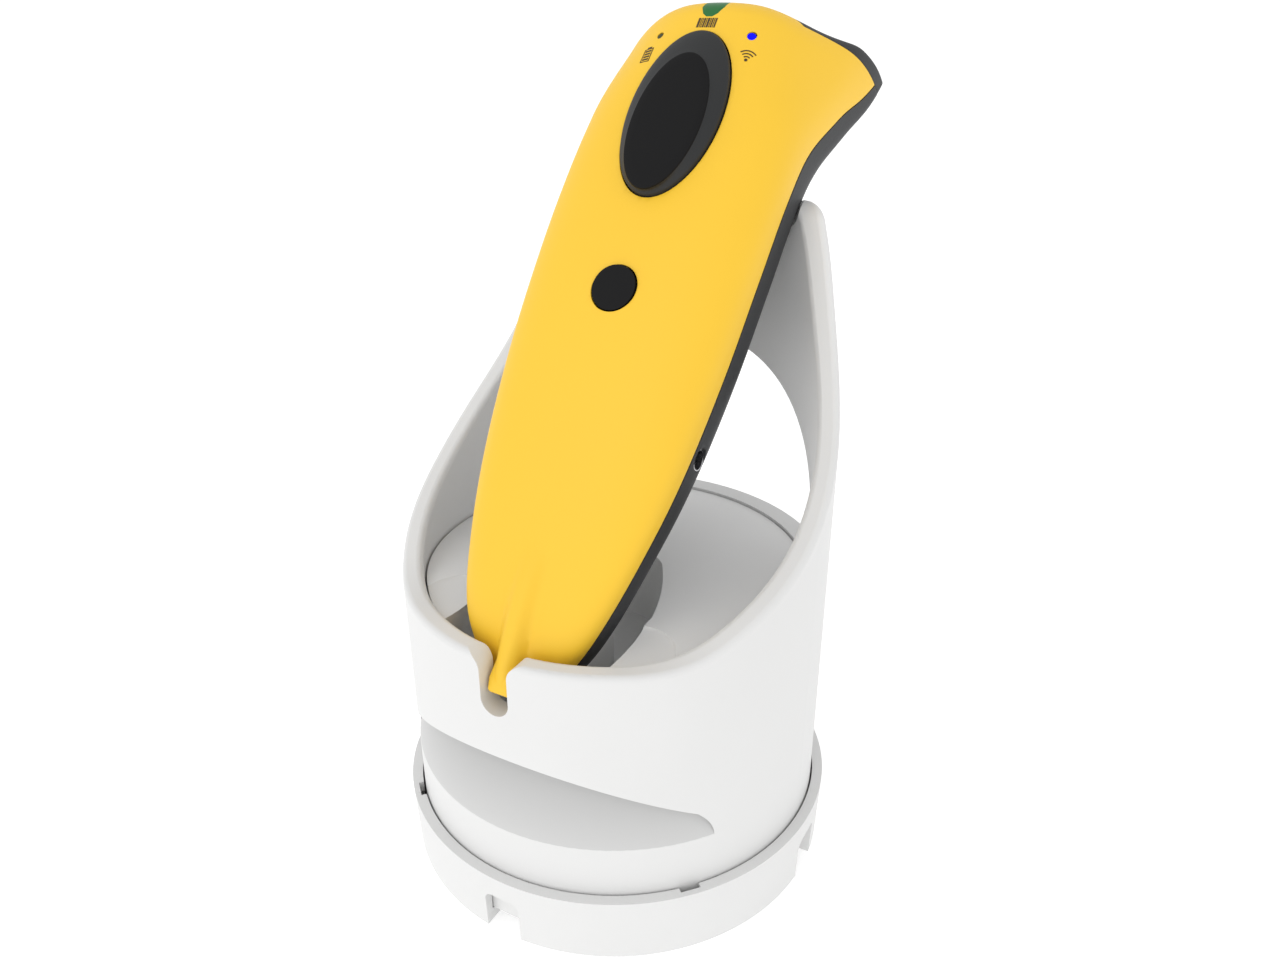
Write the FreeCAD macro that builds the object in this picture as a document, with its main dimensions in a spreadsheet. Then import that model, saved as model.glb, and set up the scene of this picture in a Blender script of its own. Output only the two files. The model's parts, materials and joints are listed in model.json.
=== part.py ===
import FreeCAD, Part
import math
import os
import Sketcher

# A cordless handheld barcode scanner and the round charging dock it stands in.
# World frame: millimetres, +Z up, the front of the dock faces -Y, the origin is the centre of the
# dock's resting plane.  The scanner's own frame has x across, y along the body from the tip of the tail
# to the nose, and z out of its yellow face; one placement leans that frame back into the dock.

Vector = FreeCAD.Vector
Rotation = FreeCAD.Rotation
Placement = FreeCAD.Placement

os.makedirs("parts", exist_ok=True)
doc = FreeCAD.newDocument("scanner_and_dock")
dims = doc.addObject("Spreadsheet::Sheet", "dims")

DIMENSIONS = {
    # Base ring and its pads.
    "ring_radius": 43.4,
    "ring_foot_radius": 42.9,
    "ring_bore": 41.35,
    "ring_opening": 30.0,
    "ring_bottom": 0.5,
    "ring_floor_top": 3.0,
    "ring_top": 13.8,
    "cable_notch_width": 7.4,
    "cable_notch_top": 9.2,
    "cable_notch_round": 1.8,
    "bayonet_groove_radius": 42.3,
    "bayonet_groove_low": 9.6,
    "bayonet_groove_high": 11.4,
    "bayonet_entry_width": 3.8,
    "bayonet_entry_angle": 48.0,
    "bayonet_turn": 20.0,
    "bayonet_tab_width": 3.0,
    "bayonet_tab_radius": 41.9,
    "bayonet_tab_low": 9.9,
    "bayonet_tab_height": 1.1,
    "fixing_hole_circle": 34.0,
    "fixing_hole_diameter": 4.3,
    "pad_radius": 4.0,
    "pad_thickness": 1.3,
    "pad_circle": 36.4,
    # Cup.
    "cup_radius": 41.0,
    "cup_bore": 37.0,
    "cup_bottom": 3.3,
    "cup_top": 125.4,
    "cup_front_rim": 60.2,
    "cup_edge_round": 1.1,
    "arch_radius": 35.5,
    "arch_centre_z": 60.8,
    "arch_sill_z": 59.8,
    "notch_half_width": 2.8,
    "notch_centre_z": 51.8,
    "crescent_radius": 52.0,
    "crescent_centre_z": -11.7,
    "crescent_low_z": 23.8,
    "crescent_high_z": 41.0,
    "crescent_depth": 4.6,
    "backing_low": 21.8,
    "backing_high": 41.9,
    "backing_low_radius": 36.9,
    "backing_high_radius": 33.6,
    "backing_end": -14.0,
    "crescent_half_width": 33.5,
    "ledge_top": 56.3,
    "ledge_height": 1.8,
    "ledge_bore": 35.4,
    "boss_circle": 33.2,
    "boss_radius": 4.0,
    "boss_bottom": 6.8,
    "boss_height": 13.0,
    "saddle_clearance": 0.4,
    # Cup floor and its pocket.
    "floor_radius": 36.6,
    "floor_low": 56.5,
    "floor_edge_z": 59.3,
    "floor_centre_z": 60.0,
    "pocket_bottom": 44.0,
    "pocket_wall": 2.0,
    "scoop_radius": 7.5,
    "scoop_depth": 1.6,
    # Bottom cover, ballast, electronics of the dock.
    "cover_radius": 36.6,
    "cover_low": 3.6,
    "cover_thickness": 3.0,
    "cover_bay_width": 15.0,
    "cover_bay_start": 11.0,
    "cover_hole_diameter": 3.4,
    "cover_screw_radius": 1.45,
    "cover_screw_length": 11.0,
    "cover_head_radius": 2.5,
    "cover_head_height": 1.7,
    "weight_radius": 28.8,
    "weight_height": 9.0,
    "weight_flat": 6.0,
    "dock_board_length": 44.0,
    "dock_board_front": 11.0,
    "dock_board_shoulder": 27.5,
    "dock_board_back": 33.0,
    "dock_board_back_half": 15.0,
    "dock_board_low": 17.4,
    "board_thickness": 1.6,
    "post_radius": 2.2,
    "inlet_radius": 4.5,
    "inlet_low": 9.4,
    "inlet_y": 22.0,
    "inlet_bore": 1.75,
    "inlet_depth": 6.5,
    # Contacts in the pocket.
    "block_half_width": 8.0,
    "block_face": -13.6,
    "contact_x": 4.0,
    "contact_along": 8.0,
    "pin_radius": 0.8,
    "pin_bore": 0.86,
    "pin_collar": 1.25,
    "pin_collar_bore": 1.35,
    # Scanner placement and skin.
    "tip_y": -39.9,
    "tip_z": 53.7,
    "lean": 57.0,
    "wall": 2.0,
    "nose_round": 5.0,
    "nose_side_share": 0.05,
    "bezel_line": 130.4,
    "hood_line": -15.0,
    "cavity_front": 131.8,
    "seam_gap": 0.3,
    "tab_half_width": 2.4,
    "tab_depth": 4.0,
    # Scan button, in its own plane on the crown.
    "scan_along": 107.1,
    "scan_height": -5.1,
    "scan_tilt": -7.2,
    "scan_half_length": 17.4,
    "scan_half_width": 9.45,
    "scan_gap": 0.3,
    "scan_proud": 1.5,
    "scan_depth": 3.2,
    "scan_bevel": 1.3,
    "scan_flange": 1.5,
    "scan_flange_thickness": 0.8,
    # Power button.
    "power_along": 71.8,
    "power_height": -1.2,
    "power_radius": 4.2,
    "power_gap": 0.3,
    "power_proud": 0.3,
    "power_depth": 3.0,
    "power_flange": 1.0,
    # Lights, window, engine.
    "light_x": 9.4,
    "light_along": 123.7,
    "light_height": -7.6,
    "battery_light_radius": 0.6,
    "radio_light_radius": 0.75,
    "scan_light_half_width": 2.0,
    "window_half_width": 15.0,
    "window_half_height": 6.0,
    "window_centre": -25.0,
    "window_corner": 2.5,
    "window_thickness": 1.1,
    "engine_half_width": 10.5,
    "engine_back": 114.0,
    "engine_length": 11.5,
    "engine_low": -28.3,
    "engine_height": 11.5,
    # Boards, battery, jack, small parts of the scanner.
    "board_back": 40.0,
    "board_front": 86.0,
    "board_half_width": 14.5,
    "board_low": -9.0,
    "scanner_board_thickness": 1.0,
    "battery_back": 50.0,
    "battery_length": 41.0,
    "battery_half_width": 13.4,
    "battery_low": -14.5,
    "battery_thickness": 5.2,
    "jack_along": 46.5,
    "jack_height": -11.2,
    "jack_hole_radius": 2.0,
    "jack_bore": 1.75,
    "jack_body_radius": 2.0,
    "jack_body_start": 10.0,
    "jack_body_length": 9.8,
    "jack_depth": 7.4,
    "shell_boss_radius": 3.0,
    "shell_screw_seat": 3.2,
    "actuator_along": 104.0,
    "actuator_lift": 3.9,
    "motor_x": -8.5,
    "motor_radius": 4.0,
    "motor_height": 2.7,
    "beeper_x": 8.0,
    "beeper_radius": 4.6,
    "beeper_height": 3.2,
    "beeper_port": 0.8,
    "contact_pad_radius": 1.6,
    "contact_pad_height": 1.6,
    "shell_screw_radius": 1.0,
    "shell_head_radius": 1.9,
}
for row, (alias, value) in enumerate(DIMENSIONS.items(), start=1):
    dims.set("A%d" % row, alias)
    dims.set("B%d" % row, str(value))
    dims.setAlias("B%d" % row, alias)
doc.recompute()

SUB_PARTS = []


# ---------------------------------------------------------------- helpers

def size(alias):
    """The number that the sheet holds under this alias."""
    return float(dims.get(alias))


def bind(item, **expressions):
    """Bind properties of an object to expressions over the sheet."""
    for name, expression in expressions.items():
        item.setExpression(name, expression)
    return item


def place(item, x, y, z):
    """Bind the position of an object to three expressions."""
    item.setExpression("Placement.Base.x", x)
    item.setExpression("Placement.Base.y", y)
    item.setExpression("Placement.Base.z", z)
    return item


def block(name, length, width, height, x="0", y="0", z="0"):
    """A box centred on x and y that stands on z."""
    item = doc.addObject("Part::Box", name)
    bind(item, Length=length, Width=width, Height=height)
    return place(item, f"({x}) - ({length}) / 2", f"({y}) - ({width}) / 2", z)


AXIS_TURNS = {
    "X": Rotation(Vector(0, 1, 0), 90),
    "Y": Rotation(Vector(1, 0, 0), -90),
    "Z": Rotation(),
}


def rod(name, radius, height, x="0", y="0", z="0", axis="Z"):
    """A cylinder that starts at x, y, z and runs along a positive axis."""
    item = doc.addObject("Part::Cylinder", name)
    item.Placement = Placement(Vector(), AXIS_TURNS[axis])
    bind(item, Radius=radius, Height=height)
    return place(item, x, y, z)


def fuse(name, *items):
    made = doc.addObject("Part::MultiFuse", name)
    made.Shapes = list(items)
    return made


def joined(name, *items):
    """A compound of objects that stay separate solids."""
    made = doc.addObject("Part::Compound", name)
    made.Links = list(items)
    return made


def moved(shape, placement):
    """A copy of a shape with a placement worked into its geometry."""
    return shape.transformed(placement.toMatrix(), True)


def outward(solid):
    """The same solid with its faces turned outwards."""
    if solid.Volume < 0:
        solid.reverse()
    return solid


def cut(name, base, *tools):
    made = doc.addObject("Part::Cut", name)
    made.Base = base
    made.Tool = tools[0] if len(tools) == 1 else fuse(name + "_tools", *tools)
    return made


def common(name, first, second):
    made = doc.addObject("Part::Common", name)
    made.Base = first
    made.Tool = second
    return made


def shaped(name, shape):
    """A feature whose shape is worked out here from the sheet's values."""
    item = doc.addObject("Part::Feature", name)
    item.Shape = shape
    return item


def polar(angle, radius):
    """A point at an angle from the front, positive towards +X."""
    turn = math.radians(angle)
    return radius * math.sin(turn), -radius * math.cos(turn)


def sub_part(item, label, in_scanner=False):
    """Name a finished sub-part and, for the scanner's pieces, lean it back into the dock."""
    if in_scanner:
        if item.TypeId in ("Part::Box", "Part::Cylinder"):
            item = joined(item.Name + "_set", item)
        item.Placement = scanner_frame()
        place(item, "0", "dims.tip_y", "dims.tip_z")
        item.setExpression("Placement.Rotation.Angle", "dims.lean")
    item.Label = label
    SUB_PARTS.append(item)
    return item


def new_body(name):
    return doc.addObject("PartDesign::Body", name)


def new_sketch(body, name, role):
    """An empty sketch on one of the body's own origin planes."""
    plane = next(item for item in body.Origin.OriginFeatures if item.Role == role)
    sketch = body.newObject("Sketcher::SketchObject", name)
    sketch.AttachmentSupport = (plane, "")
    sketch.MapMode = "FlatFace"
    return sketch


def coordinate(token):
    """A corner's coordinate: a number, or the alias of a sheet cell with an optional minus sign."""
    if not isinstance(token, str):
        return token
    return -size(token[1:]) if token.startswith("-") else size(token)


def polygon(sketch, corners):
    """A closed outline whose corners are bound to the sheet."""
    points = [Vector(coordinate(across), coordinate(up), 0) for across, up in corners]
    count = len(points)
    for index in range(count):
        sketch.addGeometry(Part.LineSegment(points[index], points[(index + 1) % count]), False)
    for index in range(count):
        sketch.addConstraint(Sketcher.Constraint("Coincident", index, 2, (index + 1) % count, 1))
    for index, corner in enumerate(corners):
        for kind, token in zip(("DistanceX", "DistanceY"), corner):
            number = sketch.addConstraint(Sketcher.Constraint(kind, index, 1, coordinate(token)))
            if isinstance(token, str):
                bound = "-dims." + token[1:] if token.startswith("-") else "dims." + token
                sketch.setExpression("Constraints[%d]" % number, bound)


def pad(body, name, sketch, length, reverse=False):
    made = body.newObject("PartDesign::Pad", name)
    made.Profile = sketch
    made.Reversed = reverse
    made.setExpression("Length", length)
    return made


def revolution(body, name, sketch):
    """A full turn of a profile about the sketch's upright axis."""
    made = body.newObject("PartDesign::Revolution", name)
    made.Profile = sketch
    made.ReferenceAxis = (sketch, ["V_Axis"])
    made.Angle = 360
    return made


# ---------------------------------------------------------------- dock: base ring and pads

def turned(name, item, angle):
    """A copy of an object turned about the upright axis."""
    made = doc.addObject("Part::Compound", name)
    made.Links = [item]
    made.Placement = Placement(Vector(), Rotation(Vector(0, 0, 1), angle))
    return made


def cable_notch(quarter):
    """A doorway with rounded upper corners, for a cable through the ring's wall."""
    inner = "dims.cable_notch_width - 2 * dims.cable_notch_round"
    shoulder = "dims.cable_notch_top - dims.cable_notch_round"
    side = "dims.cable_notch_width / 2 - dims.cable_notch_round"
    name = "cable_notch_%d" % quarter
    pieces = [
        block(name + "_tall", "12", inner, "dims.cable_notch_top", x="42"),
        block(name + "_wide", "12", "dims.cable_notch_width", shoulder, x="42"),
        rod(name + "_left", "dims.cable_notch_round", "12", "36", side, shoulder, "X"),
        rod(name + "_right", "dims.cable_notch_round", "12", "36", "-(%s)" % side, shoulder, "X"),
    ]
    return turned(name, fuse(name + "_door", *pieces), 90 * quarter)


def bayonet_entry(quarter):
    """The gap in the ring's upper lip that a tab of the cup drops through."""
    name = "bayonet_entry_%d" % quarter
    gap = block(
        name + "_gap",
        "dims.bayonet_groove_radius - 40",
        "dims.bayonet_entry_width",
        "dims.ring_top - dims.bayonet_groove_low",
        x="(40 + dims.bayonet_groove_radius) / 2",
        z="dims.bayonet_groove_low",
    )
    return turned(name, gap, size("bayonet_entry_angle") - 90 + 90 * quarter)


def base_ring():
    body = new_body("ring_body")
    profile = new_sketch(body, "ring_profile", "XZ_Plane")
    polygon(profile, [
        ("ring_opening", "ring_bottom"),
        ("ring_foot_radius", "ring_bottom"),
        ("ring_radius", "ring_top"),
        ("ring_bore", "ring_top"),
        ("ring_bore", "ring_floor_top"),
        ("ring_opening", "ring_floor_top"),
    ])
    revolution(body, "ring_turn", profile)
    doc.recompute()
    groove_profile = new_sketch(body, "groove_profile", "XZ_Plane")
    polygon(groove_profile, [
        ("ring_opening", "bayonet_groove_low"),
        ("bayonet_groove_radius", "bayonet_groove_low"),
        ("bayonet_groove_radius", "bayonet_groove_high"),
        ("ring_opening", "bayonet_groove_high"),
    ])
    groove = body.newObject("PartDesign::Groove", "bayonet_groove")
    groove.Profile = groove_profile
    groove.ReferenceAxis = (groove_profile, ["V_Axis"])
    groove.Angle = 360
    tools = []
    for quarter in range(4):
        tools.append(cable_notch(quarter))
        tools.append(bayonet_entry(quarter))
        x, y = polar(45 + 90 * quarter, size("fixing_hole_circle"))
        tools.append(rod("fixing_hole_%d" % quarter, "dims.fixing_hole_diameter / 2", "5", str(x), str(y)))
    for index in range(8):
        x, y = polar(pad_angle(index), size("pad_circle"))
        tools.append(rod("pad_recess_%d" % index, "dims.pad_radius", "dims.pad_thickness", str(x), str(y)))
    sub_part(cut("ring", body, *tools), "base_ring")


def pad_angle(index):
    """Two pads stand either side of each fixing hole."""
    return 45 + 90 * (index // 2) + (-18 if index % 2 else 18)


def base_pads():
    pads = []
    for index in range(8):
        x, y = polar(pad_angle(index), size("pad_circle"))
        pads.append(rod("pad_%d" % index, "dims.pad_radius", "dims.pad_thickness", str(x), str(y)))
    sub_part(fuse("pads", *pads), "base_pads")


# ---------------------------------------------------------------- dock: cup

# The rim seen from the side: from the low front it climbs, ever steeper, to the tall rear wall.
RIM_LINE = [
    (-33.0, 60.2),
    (-20.0, 64.6),
    (-4.3, 73.8),
    (7.4, 83.2),
    (17.0, 94.2),
    (22.6, 104.5),
    (28.8, 122.2),
]


def rim_tool():
    """Everything above the rim, as a solid across the whole cup."""
    front, top, reach = size("cup_front_rim"), size("cup_top"), 60.0
    climb = Part.BSplineCurve()
    points = [Vector(-reach, y, z) for y, z in RIM_LINE]
    climb.interpolate(Points=points, InitialTangent=Vector(0, 1, 0), FinalTangent=Vector(0, 0.36, 1))
    last = points[-1]
    shoulder = Part.Arc(last, last + Vector(0, 1.6, 2.4), Vector(-reach, last.y + 5.0, top))
    corners = [
        Vector(-reach, last.y + 5.0, top),
        Vector(-reach, reach, top),
        Vector(-reach, reach, top + 20),
        Vector(-reach, -reach, top + 20),
        Vector(-reach, -reach, front),
        points[0],
    ]
    edges = [climb.toShape(), shoulder.toShape()]
    edges += [Part.makeLine(start, end) for start, end in zip(corners, corners[1:])]
    face = Part.Face(Part.Wire(edges))
    return shaped("above_rim", face.extrude(Vector(2 * reach, 0, 0)))


def arch_tool():
    """The D-shaped window through the rear wall."""
    disc = rod("arch_disc", "dims.arch_radius", "60", "0", "0", "dims.arch_centre_z", "Y")
    above = block("arch_above_sill", "90", "60", "60", "0", "30", "dims.arch_sill_z")
    return common("arch_window", disc, above)


def front_notch_tool():
    """The slot in the front rim that takes the scanner's tab, with flared upper corners."""
    slot = block("notch_slot", "2 * dims.notch_half_width", "16", "30", "0", "-40", "dims.notch_centre_z")
    round_end = rod("notch_round", "dims.notch_half_width", "16", "0", "-48", "dims.notch_centre_z", "Y")
    flare = 3.2
    half = size("notch_half_width")
    rim = size("cup_front_rim")
    outline = [
        Part.makeLine(Vector(-half - flare, -48, rim + 1), Vector(-half - flare, -48, rim)),
        Part.Arc(
            Vector(-half - flare, -48, rim),
            Vector(-half - flare * (1 - math.sqrt(0.5)), -48, rim - flare * (1 - math.sqrt(0.5))),
            Vector(-half, -48, rim - flare)).toShape(),
        Part.makeLine(Vector(-half, -48, rim - flare), Vector(half, -48, rim - flare)),
        Part.Arc(
            Vector(half, -48, rim - flare),
            Vector(half + flare * (1 - math.sqrt(0.5)), -48, rim - flare * (1 - math.sqrt(0.5))),
            Vector(half + flare, -48, rim)).toShape(),
        Part.makeLine(Vector(half + flare, -48, rim), Vector(half + flare, -48, rim + 1)),
        Part.makeLine(Vector(half + flare, -48, rim + 1), Vector(-half - flare, -48, rim + 1)),
    ]
    mouth = shaped("notch_mouth", Part.Face(Part.Wire(outline)).extrude(Vector(0, 16, 0)))
    return fuse("front_notch", slot, round_end, mouth)


def crescent_tool():
    """The shallow crescent in the front: flush along its lower edge and deepest under its arched top."""
    low, high = size("crescent_low_z"), size("crescent_high_z")
    cone = doc.addObject("Part::Cone", "crescent_cone")
    bind(cone, Radius1="dims.cup_radius", Height="dims.crescent_high_z - dims.crescent_low_z")
    bind(cone, Radius2="dims.cup_radius - dims.crescent_depth")
    place(cone, "0", "0", "dims.crescent_low_z")
    shell = cut(
        "crescent_shell",
        rod("crescent_outer", "dims.cup_radius + 3", str(high - low), "0", "0", "dims.crescent_low_z"),
        cone,
    )
    arc = rod("crescent_arc", "dims.crescent_radius", "60", "0", "-60", "dims.crescent_centre_z", "Y")
    right, summit, centre = Vector(size("crescent_half_width"), 0, low), Vector(0, 0, high), Vector(0, 0, low)
    oval_outline = Part.Ellipse(right, summit, centre)
    oval_face = Part.Face(Part.Wire(oval_outline.toShape()))
    span = shaped("crescent_span", oval_face.extrude(Vector(0, -60, 0)))
    return common("crescent", shell, common("crescent_outline", arc, span))


def crescent_backing():
    """The wall's inner side bulges inwards behind the crescent, so that it stays thick there."""
    height = "dims.backing_high - dims.backing_low"
    hollow = doc.addObject("Part::Cone", "backing_hollow")
    bind(hollow, Radius1="dims.backing_low_radius", Radius2="dims.backing_high_radius", Height=height)
    place(hollow, "0", "0", "dims.backing_low")
    ring = cut("backing_ring", rod("backing_outer", "dims.cup_bore + 1", height, z="dims.backing_low"), hollow)
    front = block("backing_front", "90", "60", "60", "0", "dims.backing_end - 30", "0")
    return common("backing", ring, front)


def saddle_tool():
    """The scanner's neck, a little enlarged, to scoop a seat for it from the rear wall."""
    neck = skin(size("saddle_clearance"), 85.0, 118.0)
    return shaped("saddle", moved(neck, scanner_frame()))


def dock_cup():
    outer = rod("cup_outer", "dims.cup_radius", "dims.cup_top - dims.cup_bottom", z="dims.cup_bottom")
    inner = rod("cup_inner", "dims.cup_bore", "dims.cup_top", z="dims.cup_bottom - 1")
    bosses = []
    holes = []
    for index in range(3):
        x, y = polar(120 * index, size("boss_circle"))
        bosses.append(rod("boss_%d" % index, "dims.boss_radius", "dims.boss_height", str(x), str(y),
                          "dims.boss_bottom"))
        holes.append(rod("boss_hole_%d" % index, "dims.cover_screw_radius + 0.03", "dims.boss_height - 2",
                         str(x), str(y), "dims.boss_bottom"))
    tabs = []
    for quarter in range(4):
        tab = block(
            "tab_%d_block" % quarter,
            "dims.bayonet_tab_radius - 39",
            "dims.bayonet_tab_width",
            "dims.bayonet_tab_height",
            x="(39 + dims.bayonet_tab_radius) / 2",
            z="dims.bayonet_tab_low",
        )
        locked = size("bayonet_entry_angle") - size("bayonet_turn") - 90 + 90 * quarter
        tabs.append(turned("tab_%d" % quarter, tab, locked))
    ledge_low = "dims.ledge_top - dims.ledge_height"
    ledge = cut(
        "ledge",
        rod("ledge_outer", "dims.cup_bore + 1", "dims.ledge_height", z=ledge_low),
        rod("ledge_inner", "dims.ledge_bore", "10", z="dims.ledge_top - 8"),
        block("ledge_gap", "38.4", "30", "8", "0", "-35", "dims.ledge_top - 5"),
    )
    wall = cut("cup_wall", outer, inner, rim_tool())
    doc.recompute()
    rounded = rounded_rim(wall)
    solid = fuse("cup_solid", rounded, ledge, crescent_backing(), *bosses, *tabs)
    cable_slot = block("cup_cable_slot", "8", "12", "7", "0", "40", "dims.cup_bottom - 1")
    tools = [arch_tool(), front_notch_tool(), crescent_tool(), saddle_tool(), cable_slot] + holes
    sub_part(cut("cup", solid, *tools), "dock_cup")


def rounded_rim(wall):
    """Round the inner and the outer edge of the rim."""
    made = doc.addObject("Part::Fillet", "cup_rim_round")
    made.Base = wall
    radius = size("cup_edge_round")
    chosen = []
    for number, edge in enumerate(wall.Shape.Edges, start=1):
        middle = edge.valueAt((edge.FirstParameter + edge.LastParameter) / 2)
        from_axis = math.hypot(middle.x, middle.y)
        on_wall = min(abs(from_axis - size("cup_radius")), abs(from_axis - size("cup_bore"))) < 0.01
        if on_wall and edge.BoundBox.ZMin > size("cup_front_rim") - 1:
            chosen.append((number, radius, radius))
    made.Edges = chosen
    return made


# ---------------------------------------------------------------- dock: floor with its pocket

def pocket_face(grow):
    """The boat-shaped outline of the pocket, grown outwards by a distance."""
    side, back = 16.6 + grow, 5.7 + grow
    left = [Vector(-side, -45, 0), Vector(-side, -16, 0)]
    right = [Vector(side, -16, 0), Vector(side, -45, 0)]
    turn = Vector(9.4 + 0.7 * grow, 1.6 + 0.7 * grow, 0)
    flank = Vector(13.8 + grow, -7.0 + 0.3 * grow, 0)
    edges = [
        Part.makeLine(left[0], left[1]),
        Part.Arc(left[1], Vector(-flank.x, flank.y, 0), Vector(-turn.x, turn.y, 0)).toShape(),
        Part.Arc(Vector(-turn.x, turn.y, 0), Vector(0, back, 0), turn).toShape(),
        Part.Arc(turn, flank, right[0]).toShape(),
        Part.makeLine(right[0], right[1]),
        Part.makeLine(right[1], left[0]),
    ]
    return Part.Face(Part.Wire(edges))


def dock_floor():
    body = new_body("floor_body")
    profile = new_sketch(body, "floor_profile", "XZ_Plane")
    low, edge_z, centre_z = size("floor_low"), size("floor_edge_z"), size("floor_centre_z")
    radius = size("floor_radius")
    corners = [Vector(0, low, 0), Vector(radius, low, 0), Vector(radius, edge_z, 0), Vector(0, centre_z, 0)]
    profile.addGeometry(Part.LineSegment(corners[0], corners[1]), False)
    profile.addGeometry(Part.LineSegment(corners[1], corners[2]), False)
    middle = Vector(radius / 2, centre_z - (centre_z - edge_z) / 4, 0)
    profile.addGeometry(Part.Arc(corners[2], middle, corners[3]), False)
    profile.addGeometry(Part.LineSegment(corners[3], corners[0]), False)
    revolution(body, "floor_turn", profile)
    depth = size("floor_low") + 1 - (size("pocket_bottom") - size("pocket_wall"))
    tub = pocket_face(size("pocket_wall")).extrude(Vector(0, 0, depth))
    tub.translate(Vector(0, 0, size("pocket_bottom") - size("pocket_wall")))
    rim = rod("tub_rim", "dims.floor_radius", "40", z="30")
    hollow = pocket_face(0).extrude(Vector(0, 0, 30))
    hollow.translate(Vector(0, 0, size("pocket_bottom")))
    scoops = []
    for side in (-1, 1):
        scoop = doc.addObject("Part::Ellipsoid", "scoop_%s" % ("left" if side < 0 else "right"))
        bind(scoop, Radius1="dims.scoop_depth", Radius2="dims.scoop_radius")
        bind(scoop, Radius3="dims.scoop_radius * 1.1")
        place(scoop, str(side * 18.5), "-27", "dims.floor_edge_z + 0.3")
        scoops.append(scoop)
    whole = fuse("floor_whole", body, common("tub_inside", shaped("tub", tub), rim))
    sub_part(cut("floor_plate", whole, shaped("pocket", hollow), *scoops), "dock_floor")


# ---------------------------------------------------------------- dock: cover, ballast, electronics

def cover_screw_places():
    return [polar(120 * index, size("boss_circle")) for index in range(3)]


def dock_cover():
    plate = rod("cover_plate", "dims.cover_radius", "dims.cover_thickness", z="dims.cover_low")
    bay = block("cover_bay", "dims.cover_bay_width", "40", "10", "0", "dims.cover_bay_start + 20", "0")
    top = "dims.cover_low + dims.cover_thickness"
    posts = []
    for x in (-19, 19):
        for y in (14.5, 28.0):
            posts.append(rod("post", "dims.post_radius", "dims.dock_board_low - (%s) + 1" % top,
                             str(x), str(y), top + " - 1"))
    holes = []
    for x, y in cover_screw_places():
        holes.append(rod("cover_hole", "dims.cover_hole_diameter / 2", "10", str(x), str(y)))
        holes.append(rod("cover_sink", "dims.cover_head_radius + 0.3", "dims.cover_head_height + 0.3 + 3",
                         str(x), str(y), "dims.cover_low - 3"))
    sub_part(cut("cover", fuse("cover_solid", plate, *posts), bay, *holes), "dock_bottom_cover")


def cover_screws():
    screws = []
    for index, (x, y) in enumerate(cover_screw_places()):
        seat = "dims.cover_low + 0.3"
        head = rod("cover_head_%d" % index, "dims.cover_head_radius", "dims.cover_head_height",
                   str(x), str(y), seat)
        shank = rod("cover_shank_%d" % index, "dims.cover_screw_radius", "dims.cover_screw_length",
                    str(x), str(y), seat + " + dims.cover_head_height - 0.2")
        cross = fuse(
            "cover_cross_%d" % index,
            block("cross_a_%d" % index, "3", "0.7", "1.2", str(x), str(y), "dims.cover_low"),
            block("cross_b_%d" % index, "0.7", "3", "1.2", str(x), str(y), "dims.cover_low"),
        )
        blank = fuse("cover_screw_solid_%d" % index, head, shank)
        screws.append(cut("cover_screw_%d" % index, blank, cross))
    sub_part(fuse("cover_screw_set", *screws), "cover_screws")


def dock_weight():
    low = "dims.cover_low + dims.cover_thickness"
    disc = rod("weight_disc", "dims.weight_radius", "dims.weight_height", z=low)
    flat = block("weight_cut", "90", "60", "40", "0", "dims.weight_flat + 30", "0")
    sub_part(cut("weight", disc, flat), "dock_weight")


def dock_board():
    body = new_body("dock_board_body")
    outline = new_sketch(body, "dock_board_outline", "XY_Plane")
    half = size("dock_board_length") / 2
    polygon(outline, [
        (-half, "dock_board_front"),
        (half, "dock_board_front"),
        (half, "dock_board_shoulder"),
        ("dock_board_back_half", "dock_board_back"),
        ("-dock_board_back_half", "dock_board_back"),
        (-half, "dock_board_shoulder"),
    ])
    pad(body, "dock_board_pad", outline, "dims.board_thickness")
    place(body, "0", "0", "dims.dock_board_low")
    top = "dims.dock_board_low + dims.board_thickness"
    chips = [
        block("dock_chip_a", "7", "7", "1.1", "-9", "24", top),
        block("dock_chip_b", "4", "5", "1.3", "6", "26", top),
        block("dock_coil", "6", "6", "3", "14", "18", top),
        block("dock_header", "8", "4", "5", "0", "14", top),
    ]
    sub_part(fuse("dock_board_set", body, *chips), "dock_board")


def dock_power_inlet():
    """A round low-voltage inlet that faces down into the cable bay."""
    can = rod("inlet_can", "dims.inlet_radius", "dims.dock_board_low - dims.inlet_low", "0", "dims.inlet_y",
              "dims.inlet_low")
    bore = rod("inlet_bore", "dims.inlet_bore", "dims.inlet_depth", "0", "dims.inlet_y", "dims.inlet_low")
    sub_part(cut("inlet_socket", can, bore), "dock_power_inlet")


def contact_block():
    """The wedge in the pocket whose sloping face lies along the scanner's underside."""
    face, half = size("block_face"), size("block_half_width")
    frame = scanner_frame()
    low = size("pocket_bottom")
    along_low = (low - size("tip_z") - face * math.cos(math.radians(size("lean")))) / math.sin(
        math.radians(size("lean")))
    foot = frame.multVec(Vector(0, along_low, face))
    head = frame.multVec(Vector(0, 13.2, face))
    outline = [foot, head, Vector(0, head.y + 6.5, head.z), Vector(0, head.y + 6.5, low)]
    wedge = Part.Face(Part.makePolygon(outline + outline[:1])).extrude(Vector(2 * half, 0, 0))
    wedge.translate(Vector(-half, 0, 0))
    solid = shaped("wedge", wedge)
    bores = []
    for side in (-1, 1):
        for radius, start, length in (("pin_bore", -3.0, 5.0), ("pin_collar_bore", -8.0, 5.6)):
            foot_point = Vector(side * size("contact_x"), size("contact_along"), face + start)
            bore = Part.makeCylinder(size(radius), length, foot_point)
            bores.append(shaped("contact_bore", moved(bore, frame)))
    sub_part(cut("contact_wedge", solid, *bores), "contact_block")


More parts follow.
